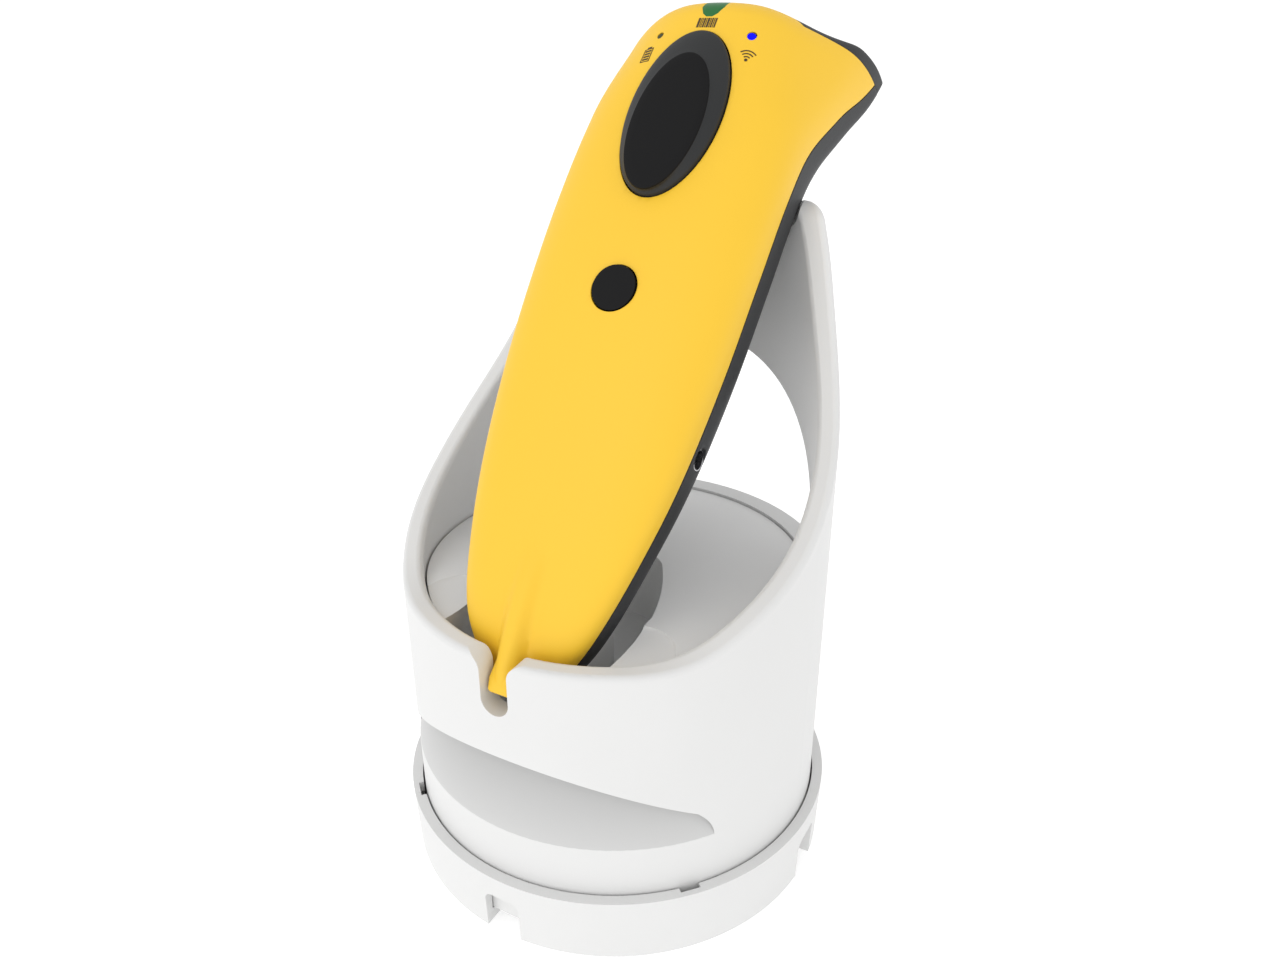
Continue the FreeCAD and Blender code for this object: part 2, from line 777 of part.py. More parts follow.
def contact_pins():
    """Two spring-loaded pins square to the scanner's underside."""
    for side, label in ((-1, "contact_pin_left"), (1, "contact_pin_right")):
        x, along, face = str(side * size("contact_x")), "dims.contact_along", "dims.block_face"
        stem = rod(label + "_stem", "dims.pin_radius", "4.3", x, along, face + " - 3")
        collar = rod(label + "_collar", "dims.pin_collar", "1.2", x, along, face + " - 4")
        sub_part(fuse(label + "_set", stem, collar), label, in_scanner=True)


def contact_springs():
    """The two coil springs behind the contact pins."""
    coils = []
    for side in (-1, 1):
        start = Vector(side * size("contact_x"), size("contact_along"), size("block_face") - 7.7)
        helix = Part.makeHelix(0.85, 3.4, 0.85)
        profile = Part.Wire(Part.makeCircle(0.16, Vector(0.85, 0, 0), Vector(0, 1, 0)))
        coil = Part.Wire(helix).makePipeShell([profile], True, True)
        coil.translate(start)
        coils.append(shaped("coil", coil))
    sub_part(fuse("contact_spring_set", *coils), "contact_springs", in_scanner=True)


# ---------------------------------------------------------------- scanner: skin

CROWN_POWER = 3.0
NOSE_CROWN_POWER = 2.4
UNDERSIDE_POWER = 5.0

# Cross-sections from tail to nose: distance along the body, half width at the seam, height of the crown,
# of the seam and of the underside.
STATIONS = [
    (0.7, 3.2, -7.0, -8.2, -9.8),
    (2.0, 6.0, -4.8, -7.2, -11.0),
    (5.0, 9.0, -2.5, -6.0, -11.8),
    (12.0, 12.8, -0.2, -4.9, -12.3),
    (24.0, 16.3, 0.2, -5.5, -13.4),
    (40.0, 19.3, 0.1, -7.2, -16.2),
    (60.0, 21.2, -0.5, -9.3, -19.2),
    (80.0, 22.0, -1.9, -11.6, -21.8),
    (96.0, 22.3, -3.8, -14.2, -24.2),
    (108.0, 22.5, -5.2, -18.2, -28.6),
    (118.0, 23.6, -6.5, -25.0, -34.0),
    (126.0, 24.9, -7.6, -31.5, -38.4),
    (133.4, 25.8, -8.8, -36.4, -41.0),
]


NOSE_END = STATIONS[-1][0]


def scanner_frame():
    return Placement(Vector(0, size("tip_y"), size("tip_z")), Rotation(Vector(1, 0, 0), size("lean")))


def station_at(along):
    """A cross-section between two of the listed ones, on smooth curves through them all."""
    last = len(STATIONS) - 1
    index = max(number for number in range(last) if STATIONS[number][0] <= along)
    start, end = STATIONS[index], STATIONS[index + 1]
    gap = end[0] - start[0]
    share = (along - start[0]) / gap
    values = [along]
    for column in range(1, 5):
        slope_start, slope_end = slope(index, column) * gap, slope(index + 1, column) * gap
        values.append(
            start[column] * (1 + 2 * share) * (1 - share) ** 2
            + slope_start * share * (1 - share) ** 2
            + end[column] * share ** 2 * (3 - 2 * share)
            - slope_end * share ** 2 * (1 - share)
        )
    return tuple(values)


def slope(index, column):
    """The slope of one column of the table at a listed station."""
    before, after = STATIONS[max(index - 1, 0)], STATIONS[min(index + 1, len(STATIONS) - 1)]
    return (after[column] - before[column]) / (after[0] - before[0])


def crown_power(along):
    """How square the upper half of a section is: rounder in the shoulders towards the nose."""
    share = max(0.0, min(1.0, (along - 112) / 14))
    return CROWN_POWER + (NOSE_CROWN_POWER - CROWN_POWER) * share * share * (3 - 2 * share)


def half_section(along, half_width, seam, apex, power, direction):
    """Points of a rounded half section from one seam over the apex to the other seam."""
    points = []
    steps = 14
    for step in range(steps + 1):
        angle = math.pi * step / steps
        across, rise = round(math.cos(angle), 12), round(math.sin(angle), 12)
        x = half_width * math.copysign(abs(across) ** (2 / power), across)
        points.append(Vector(direction * x, along, seam + (apex - seam) * rise ** (2 / power)))
    return points


def section_rows(start, end):
    """Places for sections: evenly spaced along the body, then closer round the nose."""
    straight_end = NOSE_END - size("nose_round") if end == NOSE_END else end
    count = round((straight_end - start) / 7.0)
    rows = [station_at(start + (straight_end - start) * step / count) for step in range(count + 1)]
    if end == NOSE_END:
        radius = size("nose_round")
        for degrees in (30, 55, 75):
            turn = math.radians(degrees)
            along, half_width, crown, seam, underside = station_at(straight_end + radius * math.sin(turn))
            inset = radius * (1 - math.cos(turn))
            side_inset = inset * size("nose_side_share")
            rows.append((along, half_width - side_inset, crown - inset, seam, underside + side_inset))
    return rows


def skin(grow, start=0.7, end=None):
    """The scanner's outer form as a solid, grown outwards by a distance."""
    rows = section_rows(start, NOSE_END if end is None else end)
    wires = []
    for along, half_width, crown, seam, underside in rows:
        upper = half_section(along, half_width + grow, seam, crown + grow, crown_power(along), 1)
        lower = half_section(along, half_width + grow, seam, underside - grow, UNDERSIDE_POWER, -1)
        wires.append(Part.Wire([smooth_edge(upper), smooth_edge(lower)]))
    return outward(Part.makeLoft(wires, True, True))


def smooth_edge(points):
    curve = Part.BSplineCurve()
    curve.interpolate(points)
    return curve.toShape()


def long_block(start, end, low, high, half=40.0):
    """A block of the scanner's frame, wide enough to span it."""
    return Part.makeBox(2 * half, end - start, high - low, Vector(-half, start, low))


def seam_solid(drop):
    """Everything above the seam, with the seam lowered by a distance."""
    points = [Vector(-40, row[0], row[3] - drop) for row in STATIONS if 2 <= row[0] <= 130]
    points.insert(0, Vector(-40, -6, STATIONS[1][3] - 1.0 - drop))
    points.append(Vector(-40, 142, STATIONS[-4][3] - 3.0 - drop))
    curve = Part.BSplineCurve()
    curve.interpolate(points)
    corners = [points[-1], Vector(-40, 142, 30), Vector(-40, -6, 30), points[0]]
    edges = [curve.toShape()] + [Part.makeLine(a, b) for a, b in zip(corners, corners[1:])]
    return Part.Face(Part.Wire(edges)).extrude(Vector(80, 0, 0))


def bezel_region():
    """The part of the nose, below the yellow hood, that belongs to the bezel."""
    return long_block(size("bezel_line"), NOSE_END + 5, -60, size("hood_line"))


def shell_form():
    """The hollow skin before it is split into shells and bezel."""
    cavity = skin(-size("wall"), 5.5, size("cavity_front"))
    return skin(0).cut(cavity)


def tab_ridge():
    """The ridge that rises out of the tail and ends in the locating tab, drawn from the side."""
    half, depth = size("tab_half_width"), size("tab_depth")
    sides = []
    for side in (-1, 1):
        curve = Part.BSplineCurve()
        curve.interpolate([Vector(side * across, along, -10)
                           for across, along in ((half - 0.2, 0), (half + 0.3, 5), (3.0, 15), (1.2, 30))])
        sides.append(curve)
    left, right = sides
    front = Part.makeLine(left.EndPoint, right.EndPoint)
    back = Part.makeLine(right.StartPoint, left.StartPoint)
    outline = Part.Wire([left.toShape(), front, right.toShape(), back])
    footprint = Part.Face(outline).extrude(Vector(0, 0, 20))
    top = Part.BSplineCurve()
    crest = ((0, -0.4), (1.5, 0.2), (14, 1.3), (30, 0.0))
    top.interpolate([Vector(-10, along, height) for along, height in crest])
    corners = [Vector(-10, 30, 0.0), Vector(-10, 30, -2), Vector(-10, 9, -depth), Vector(-10, 0, -depth),
               Vector(-10, 0, -0.4)]
    edges = [top.toShape()] + [Part.makeLine(a, b) for a, b in zip(corners, corners[1:])]
    profile = Part.Face(Part.Wire(edges)).extrude(Vector(20, 0, 0))
    ridge = footprint.common(profile)
    return ridge.makeFillet(0.9, long_edges(ridge))


def long_edges(ridge):
    """The upper side edges of the ridge."""
    return [edge for edge in ridge.Edges
            if edge.BoundBox.ZMin > -0.6 and edge.BoundBox.YLength > 1.0]


def tab_foot():
    """The grey lower half of the locating tab."""
    half, depth = size("tab_half_width") - 0.1, size("tab_depth") + size("seam_gap")
    foot = Part.makeBox(2 * half, 3.6, 3.2, Vector(-half, 0.4, -depth - 3.2))
    nose = [edge for edge in foot.Edges if edge.BoundBox.XLength > half and edge.BoundBox.YMax < 1]
    return foot.makeFillet(1.0, nose[:1]) if nose else foot


def top_shell():
    form = shell_form()
    upper = form.common(seam_solid(0)).cut(bezel_region())
    depth = size("tab_depth")
    clearance = long_block(0, 4.2, -depth - 4, -depth - 0.1, size("tab_half_width") + 0.1)
    upper = upper.cut(clearance).fuse(tab_ridge().cut(inner_void()))
    shell = shaped("top_form", upper.removeSplitter())
    bosses = []
    pilots = []
    for index, (x, along) in enumerate(SHELL_SCREWS):
        seam = station_at(along)[3]
        boss = Part.makeCylinder(2.2, 30, Vector(x, along, seam)).common(skin(-0.8))
        bosses.append(shaped("top_boss_%d" % index, boss))
        pilots.append(rod("top_pilot_%d" % index, "dims.shell_screw_radius + 0.03", "5", str(x), str(along),
                          str(seam - 0.1)))
    openings = [scan_opening(), power_opening(), scan_light_cutter()]
    openings += [light_hole("battery"), light_hole("radio")]
    whole = fuse("top_solid", shell, *bosses)
    sub_part(cut("top", whole, *openings, *pilots), "top_shell", in_scanner=True)


def inner_void():
    return skin(-size("wall") * 0.9, 5.5, size("bezel_line"))


SHELL_SCREWS = [(-12.5, 33.0), (12.5, 33.0), (-17.4, 97.0), (17.4, 97.0)]


def bottom_shell():
    form = shell_form()
    lower = form.cut(seam_solid(size("seam_gap"))).cut(bezel_region())
    lower = lower.fuse(tab_foot()).removeSplitter()
    shell = shaped("bottom_form", lower)
    bosses = []
    tools = []
    for index, (x, along) in enumerate(SHELL_SCREWS):
        row = station_at(along)
        seam, underside = row[3], row[4]
        height = seam - size("seam_gap") - underside + 2
        boss = Part.makeCylinder(size("shell_boss_radius"), height, Vector(x, along, underside - 2))
        boss = boss.common(skin(-0.8))
        bosses.append(shaped("bottom_boss_%d" % index, boss))
        tools.append(rod("bottom_hole_%d" % index, "dims.shell_screw_radius + 0.1", "40",
                         str(x), str(along), str(underside - 5)))
        tools.append(rod("bottom_sink_%d" % index, "dims.shell_head_radius + 0.15", "6",
                         str(x), str(along), str(underside - 6 + size("shell_screw_seat"))))
    for side in (-1, 1):
        tools.append(rod("contact_hole", "dims.contact_pad_radius", "8",
                         str(side * size("contact_x")), "dims.contact_along", "-15"))
    tools.append(rod("jack_hole", "dims.jack_hole_radius + 0.15", "12",
                     "14", "dims.jack_along", "dims.jack_height", "X"))
    whole = fuse("bottom_solid", shell, *bosses)
    sub_part(cut("bottom", whole, *tools), "bottom_shell", in_scanner=True)


def shell_screws():
    screws = []
    for index, (x, along) in enumerate(SHELL_SCREWS):
        underside = station_at(along)[4]
        seat = underside + size("shell_screw_seat")
        head = rod("shell_head_%d" % index, "dims.shell_head_radius", "1.2",
                   str(x), str(along), str(seat - 1.2))
        length = station_at(along)[3] + 3.5 - seat
        shank = rod("shell_shank_%d" % index, "dims.shell_screw_radius", str(length), str(x), str(along),
                    str(seat - 0.1))
        socket = rod("shell_drive_%d" % index, "0.75", "0.9", str(x), str(along), str(seat - 1.3))
        blank = fuse("shell_screw_solid_%d" % index, head, shank)
        screws.append(cut("shell_screw_%d" % index, blank, socket))
    sub_part(fuse("shell_screw_set", *screws), "shell_screws", in_scanner=True)


def shell_gasket():
    """The thin seal in the seam between the shells."""
    outer = skin(-0.5).cut(skin(-1.5, 5.0, size("bezel_line")))
    gap = seam_solid(size("seam_gap")).cut(seam_solid(0))
    ring = outer.common(gap).common(long_block(9, size("bezel_line") - 1, -60, 20))
    sub_part(shaped("gasket", ring), "shell_gasket", in_scanner=True)


# ---------------------------------------------------------------- scanner: nose

def rounded_plate(half_width, half_height, corner, start, thickness, centre):
    """A plate square to the body's axis with rounded corners."""
    plate = Part.makeBox(2 * half_width, thickness, 2 * half_height,
                         Vector(-half_width, start, centre - half_height))
    corners = [edge for edge in plate.Edges if edge.BoundBox.YLength > thickness - 0.01]
    return plate.makeFillet(corner, corners)


def window_bezel():
    form = shell_form().common(bezel_region())
    opening = rounded_plate(size("window_half_width"), size("window_half_height"), size("window_corner"),
                            128, 12, size("window_centre"))
    sub_part(shaped("bezel", form.cut(opening)), "window_bezel", in_scanner=True)


def scan_window():
    plate = rounded_plate(size("window_half_width") + 1.6, size("window_half_height") + 1.4,
                          size("window_corner") + 1, size("cavity_front") - size("window_thickness") - 0.05,
                          size("window_thickness"), size("window_centre"))
    sub_part(shaped("window", plate), "scan_window", in_scanner=True)


def scan_engine():
    case = block("engine_case", "2 * dims.engine_half_width", "dims.engine_length", "dims.engine_height",
                 "0", "dims.engine_back + dims.engine_length / 2", "dims.engine_low")
    front = "dims.engine_back + dims.engine_length"
    middle = "dims.engine_low + dims.engine_height / 2"
    socket = rod("engine_lens_socket", "3.4", "3", "-3.5", front + " - 2", middle, "Y")
    lamp = rod("engine_lamp_socket", "1.8", "3", "5.5", front + " - 2", middle, "Y")
    sub_part(cut("engine", case, socket, lamp), "scan_engine", in_scanner=True)


def engine_lens():
    front = "dims.engine_back + dims.engine_length"
    middle = "dims.engine_low + dims.engine_height / 2"
    barrel = rod("lens_barrel", "3.3", "3.6", "-3.5", front + " - 2", middle, "Y")
    mouth = rod("lens_mouth", "2.4", "1.4", "-3.5", front + " + 0.8", middle, "Y")
    sub_part(cut("lens", barrel, mouth), "engine_lens", in_scanner=True)


def aiming_lamp():
    front = "dims.engine_back + dims.engine_length"
    middle = "dims.engine_low + dims.engine_height / 2"
    base = rod("lamp_base", "1.7", "2.6", "5.5", front + " - 2", middle, "Y")
    dome = doc.addObject("Part::Sphere", "lamp_dome")
    bind(dome, Radius="1.4")
    place(dome, "5.5", front + " + 0.6", middle)
    sub_part(fuse("lamp", base, dome), "aiming_lamp", in_scanner=True)


def engine_bracket():
    """A folded sheet cradle round the engine, open at the front and the top."""
    sheet = 0.8
    outer = block("bracket_outer", "2 * dims.engine_half_width + %s" % (2 * sheet + 0.2),
                  "dims.engine_length - 2", "dims.engine_height - 1", "0",
                  "dims.engine_back + dims.engine_length / 2 - 1", "dims.engine_low - %s" % (sheet + 0.1))
    inner = block("bracket_inner", "2 * dims.engine_half_width + 0.2", "dims.engine_length + 8",
                  "dims.engine_height + 2", "0", "dims.engine_back + dims.engine_length / 2 + 4 - 0.1",
                  "dims.engine_low - 0.1")
    sub_part(cut("bracket", outer, inner), "engine_bracket", in_scanner=True)


# ---------------------------------------------------------------- scanner: buttons and lights

def scan_plane(offset=0.0):
    """The plane of the scan button in the scanner's frame, shifted along its own normal."""
    middle = Vector(0, size("scan_along"), size("scan_height"))
    base = Placement(middle, Rotation(Vector(1, 0, 0), size("scan_tilt")))
    return base.multiply(Placement(Vector(0, 0, offset), Rotation()))


def oval(grow, low, high):
    """An oval prism square to the scan button's plane."""
    long_half, short_half = size("scan_half_length") + grow, size("scan_half_width") + grow
    ellipse = Part.Ellipse(Vector(0, long_half, 0), Vector(short_half, 0, 0), Vector(0, 0, 0))
    prism = Part.Face(Part.Wire(ellipse.toShape())).extrude(Vector(0, 0, high - low))
    prism.translate(Vector(0, 0, low))
    return prism


def scan_opening():
    return shaped("scan_opening", moved(oval(size("scan_gap"), -8, 6), scan_plane()))


def scan_button():
    cap = oval(0, -size("scan_depth"), size("scan_proud"))
    rim = [edge for edge in cap.Edges if abs(edge.BoundBox.ZMin - size("scan_proud")) < 0.01
           and edge.BoundBox.ZLength < 0.01]
    cap = cap.makeFillet(size("scan_bevel"), rim)
    flange_low = -size("scan_depth") - size("scan_flange_thickness")
    flange = oval(size("scan_flange"), flange_low, -size("scan_depth"))
    stud = Part.makeCylinder(1.8, 1.0, Vector(0, -5, flange_low - 0.6))
    whole = cap.fuse([flange, stud]).removeSplitter()
    sub_part(shaped("scan_cap", moved(whole, scan_plane())), "scan_button", in_scanner=True)


def power_opening():
    return rod("power_opening", "dims.power_radius + dims.power_gap", "8", "0", "dims.power_along",
               "dims.power_height - 5")


def power_button():
    cap = rod("power_cap", "dims.power_radius", "dims.power_proud + dims.power_depth",
              "0", "dims.power_along", "dims.power_height - dims.power_depth")
    flange = rod("power_flange", "dims.power_radius + dims.power_flange", "0.8", "0", "dims.power_along",
                 "dims.power_height - dims.power_depth - 0.8")
    sub_part(fuse("power", cap, flange), "power_button", in_scanner=True)


def light_hole(kind):
    side = -1 if kind == "battery" else 1
    return rod(kind + "_hole", "dims.%s_light_radius" % kind, "8",
               str(side * size("light_x")), "dims.light_along", "dims.light_height - 5")


def light_pipes():
    for kind, side in (("battery", -1), ("radio", 1)):
        pipe = rod(kind + "_pipe", "dims.%s_light_radius" % kind, "4", str(side * size("light_x")),
                   "dims.light_along", "dims.light_height - 4.2")
        foot = rod(kind + "_foot", "dims.%s_light_radius + 0.7" % kind, "0.8", str(side * size("light_x")),
                   "dims.light_along", "dims.light_height - 4.9")
        sub_part(fuse(kind + "_light_set", pipe, foot), kind + "_light", in_scanner=True)


def scan_light_prism():
    """The wedge-shaped outline of the green light at the middle of the front edge."""
    half = size("scan_light_half_width")
    outline = [Vector(-half, 131.5, 5), Vector(-half, 128.6, 5), Vector(-half * 0.45, 127.2, 5),
               Vector(half * 0.45, 127.2, 5), Vector(half, 128.6, 5), Vector(half, 131.5, 5)]
    return Part.Face(Part.makePolygon(outline + outline[:1])).extrude(Vector(0, 0, -19))


def scan_light_cutter():
    return shaped("scan_light_cutter", scan_light_prism())


def scan_light():
    pipe = scan_light_prism().common(skin(0)).cut(skin(-2.6, 5.0, size("cavity_front")))
    pipe = pipe.common(long_block(120, size("bezel_line"), -60, 20))
    sub_part(shaped("scan_light_pipe", pipe), "scan_light", in_scanner=True)


# ---------------------------------------------------------------- scanner: inside

def main_board():
    body = new_body("board_body")
    outline = new_sketch(body, "board_outline", "XY_Plane")
    polygon(outline, [
        ("-board_half_width", "board_back"),
        ("board_half_width", "board_back"),
        ("board_half_width", "board_front"),
        ("-board_half_width", "board_front"),
    ])
    pad(body, "board_pad", outline, "dims.scanner_board_thickness")
    place(body, "0", "0", "dims.board_low")
    top = "dims.board_low + dims.scanner_board_thickness"
    chips = [
        block("chip_radio", "10", "12", "1.6", "-6", "56", top),
        block("chip_main", "8", "8", "1.0", "7", "58", top),
        block("chip_memory", "5", "4", "0.9", "8", "47", top),
        block("chip_socket", "9", "4", "1.8", "0", "82", top),
    ]
    sub_part(fuse("board_set", body, *chips), "main_board", in_scanner=True)


def power_switch():
    low = "dims.board_low + dims.scanner_board_thickness"
    base = block("power_switch_base", "5", "5", "1.9", "0", "dims.power_along", low)
    stem = rod("power_switch_stem", "1.2", "0.7", "0", "dims.power_along", low + " + 1.8")
    sub_part(fuse("power_switch_set", base, stem), "power_switch", in_scanner=True)


def button_board():
    plate = Part.makeBox(20, 14, 0.8, Vector(-10, -12, -8.6))
    sub_part(shaped("button_plate", moved(plate, scan_plane())), "button_board", in_scanner=True)


def scan_switch():
    base = Part.makeBox(6, 6, 1.6, Vector(-3, -8, -7.8))
    stem = Part.makeCylinder(1.4, 0.6, Vector(0, -5, -6.2))
    whole = moved(base.fuse(stem), scan_plane())
    sub_part(shaped("scan_switch_set", whole), "scan_switch", in_scanner=True)


def battery():
    made = doc.addObject("Part::Box", "battery_box")
    bind(made, Length="2 * dims.battery_half_width", Width="dims.battery_length")
    bind(made, Height="dims.battery_thickness")
    place(made, "-dims.battery_half_width", "dims.battery_back", "dims.battery_low")
    rounded = doc.addObject("Part::Fillet", "battery_round")
    rounded.Base = made
    doc.recompute()
    rounded.Edges = [(number, 1.2, 1.2) for number, edge in enumerate(made.Shape.Edges, start=1)
                     if edge.BoundBox.YLength > 30]
    sub_part(rounded, "battery", in_scanner=True)


def battery_plug():
    housing = block("plug_housing", "8", "4", "3.2", "-6", "45.5", "dims.board_low - 3.3")
    slot = block("plug_slot", "6", "3", "1.6", "-6", "47", "dims.board_low - 2.5")
    sub_part(cut("plug", housing, slot), "battery_plug", in_scanner=True)


def charge_jack():
    """The round side jack: its bore opens through the grey shell's right side."""
    outer = rod("jack_can", "dims.jack_body_radius", "dims.jack_body_length",
                "dims.jack_body_start", "dims.jack_along", "dims.jack_height", "X")
    side = station_at(size("jack_along"))[1]
    bore = rod("jack_bore", "dims.jack_bore", "dims.jack_depth + 1",
               "%s - dims.jack_depth" % side, "dims.jack_along", "dims.jack_height", "X")
    sub_part(cut("jack_socket", outer, bore), "charge_jack", in_scanner=True)


def charge_contacts():
    """Two gilt pads in the underside of the tail that meet the dock's pins."""
    pads = []
    underside = station_at(size("contact_along"))[4]
    for side in (-1, 1):
        pads.append(rod("charge_pad", "dims.contact_pad_radius", "dims.contact_pad_height",
                        str(side * size("contact_x")), "dims.contact_along", str(underside + 0.1)))
    sub_part(fuse("charge_pad_set", *pads), "charge_contacts", in_scanner=True)


def small_actuators():
    """The beeper and the vibration motor, side by side on the floor of the head."""
    low = str(station_at(size("actuator_along") - 1)[4] + size("actuator_lift"))
    motor = rod("motor_can", "dims.motor_radius", "dims.motor_height",
                "dims.motor_x", "dims.actuator_along", low)
    sub_part(motor, "vibration_motor", in_scanner=True)
    can = rod("beeper_can", "dims.beeper_radius", "dims.beeper_height",
              "dims.beeper_x", "dims.actuator_along", low)
    port = rod("beeper_port", "dims.beeper_port", "3", "dims.beeper_x", "dims.actuator_along",
               "%s + dims.beeper_height - 1" % low)
    sub_part(cut("beeper_set", can, port), "beeper", in_scanner=True)


# ---------------------------------------------------------------- build, check, write

base_ring()
base_pads()
dock_cup()
dock_floor()
dock_cover()
cover_screws()
dock_weight()
dock_board()
dock_power_inlet()
contact_block()
contact_pins()
contact_springs()
top_shell()
bottom_shell()
shell_screws()
shell_gasket()
window_bezel()
scan_window()
scan_engine()
engine_lens()
aiming_lamp()
engine_bracket()
scan_button()
power_button()
light_pipes()
scan_light()
main_board()
power_switch()
button_board()
scan_switch()
battery()
battery_plug()
charge_jack()
charge_contacts()
small_actuators()

doc.recompute()
for item in doc.Objects:
    if "Invalid" in item.State or "Error" in item.State:
        raise RuntimeError("object failed: %s %s" % (item.Name, item.State))
for item in SUB_PARTS:
    if item.Shape.isNull() or not item.Shape.isValid() or not item.Shape.Solids:
        raise RuntimeError("bad shape: %s" % item.Label)
    item.Shape.exportStep("parts/%s.step" % item.Label)
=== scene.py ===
import json
import math
import bmesh
import bpy
from mathutils import Matrix, Vector


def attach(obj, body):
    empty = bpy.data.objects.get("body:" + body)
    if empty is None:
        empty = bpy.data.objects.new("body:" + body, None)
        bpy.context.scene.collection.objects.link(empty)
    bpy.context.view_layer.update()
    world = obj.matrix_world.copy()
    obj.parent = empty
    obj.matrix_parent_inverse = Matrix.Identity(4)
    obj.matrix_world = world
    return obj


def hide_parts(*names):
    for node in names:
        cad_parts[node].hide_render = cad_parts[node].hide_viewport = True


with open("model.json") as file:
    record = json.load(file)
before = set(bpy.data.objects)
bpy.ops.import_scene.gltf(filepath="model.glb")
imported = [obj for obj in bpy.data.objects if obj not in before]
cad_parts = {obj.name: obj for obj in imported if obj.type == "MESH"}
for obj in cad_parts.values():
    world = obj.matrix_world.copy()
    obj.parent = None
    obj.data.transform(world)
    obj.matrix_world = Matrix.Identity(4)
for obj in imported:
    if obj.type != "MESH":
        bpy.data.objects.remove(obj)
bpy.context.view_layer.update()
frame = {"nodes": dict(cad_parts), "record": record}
NODES = frame["nodes"]
MM = 0.001

# The scanner's own frame, in mm: x across, y along the body from the tail's tip, z out of the yellow face.
TAIL_PLACE = (0, -39.9, 53.7)
LEAN = 57
SCANNER = (Matrix.Translation(Vector(TAIL_PLACE) * MM)
           @ Matrix.Rotation(math.radians(LEAN), 4, "X")
           @ Matrix.Scale(MM, 4))

# Cross-sections from tail to nose, in mm: place along the body, half width at the seam, height of the
# crown, of the seam and of the underside.  They are the CAD model's own.
STATIONS = [
    (0.7, 3.2, -7.0, -8.2, -9.8),
    (2.0, 6.0, -4.8, -7.2, -11.0),
    (5.0, 9.0, -2.5, -6.0, -11.8),
    (12.0, 12.8, -0.2, -4.9, -12.3),
    (24.0, 16.3, 0.2, -5.5, -13.4),
    (40.0, 19.3, 0.1, -7.2, -16.2),
    (60.0, 21.2, -0.5, -9.3, -19.2),
    (80.0, 22.0, -1.9, -11.6, -21.8),
    (96.0, 22.3, -3.8, -14.2, -24.2),
    (108.0, 22.5, -5.2, -18.2, -28.6),
    (118.0, 23.6, -6.5, -25.0, -34.0),
    (126.0, 24.9, -7.6, -31.5, -38.4),
    (133.4, 25.8, -8.8, -36.4, -41.0),
]
NOSE_END = STATIONS[-1][0]

# Each half of a section is a superellipse.  The upper one gets rounder towards the nose, from one place
# along the body to the other, and the lower one gets squarer.
CROWN_POWER, NOSE_CROWN_POWER = 3.0, 2.12
ROUNDER_START, ROUNDER_END = 109.0, 133.0
UNDERSIDE_POWER, NOSE_UNDERSIDE_POWER = 5.0, 6.5
SQUARER_START, SQUARER_END = 102.0, 116.0

# The nose ends in a rounded edge, and its upper corners are swept back in plan, by side and by height.
NOSE_ROUND = 4.8
NOSE_SIDE_SHARE = 0.05
NOSE_ROUND_STEPS = 12
SWEEP_START = 101.0
CORNER_PULL = 4.5
CORNER_START, CORNER_END = 5.3, 22.0
CORNER_LOW, CORNER_HIGH = -27.5, -12.4

# How finely the skin is divided: places of the sections near the tail's tip, then even steps.
TAIL_ROWS = [0.7, 1.0, 1.4, 2.0, 2.7, 3.5, 4.4, 5.4, 6.6]
EVEN_START = 8.0
EVEN_STEPS = 90
COLUMNS = 72
CAP_STEPS = 8
WELD = 0.0005

# The shells: their wall, where the hollow starts at the tail, and the joint between the two halves.
WALL = 2.0
LEAST_HALF_WIDTH = 1.0
THIN_SHARE = 0.45
HOLLOW_START = 2.6
SEAM_GAP = 0.3

# The bezel's corner of the nose lies past the bezel line and below the hood line.
BEZEL_LINE = 130.4
HOOD_LINE = -15.0
NOSE_PART_START = 118.0
NOSE_PART_OVERLAP = 5.0
NOSE_ROWS_START = 100.0

# The ridge down the tail widens and rises from the tip, and sinks into the face past RIDGE_FADE.
RIDGE_END = 36.0
RIDGE_FADE = 14.0
RIDGE_HALF_WIDTH, RIDGE_FLARE, RIDGE_SPREAD = 2.3, 1.2, 0.05
RIDGE_TOP, RIDGE_TIP_RISE, RIDGE_SWELL, RIDGE_SINK = -0.5, 1.0, 0.9, 2.2
RIDGE_TIP_LENGTH, RIDGE_SWELL_LENGTH = 3.0, 26.0
RIDGE_SIDE_DROP, RIDGE_SIDE_POWER = 3.4, 2.6
RIDGE_BLEND = 1.1
BELOW_ALL = -100.0


# ---------------------------------------------------------------- materials

DRIFT_SCALE = 45.0
GLOSS_SPREAD = 0.12
GRAIN_HEIGHT = 0.0002

# The crescent cut into the cup's front, in mm, and the painted shade on its floor: how far its colour is
# darkened from its edge to its depth.
CUP_RADIUS = 41.0
RECESS_STEP = 0.06
RECESS_TOP = 41.1
RECESS_FOOT = 23.7
RECESS_DEPTH = 4.6
RECESS_EDGE_PAINTED_SHADE = 0.80
RECESS_DEEP_PAINTED_SHADE = 0.56


def socket(node, name, value):
    """Set an unconnected input of a shader node."""
    node.inputs[name].default_value = value


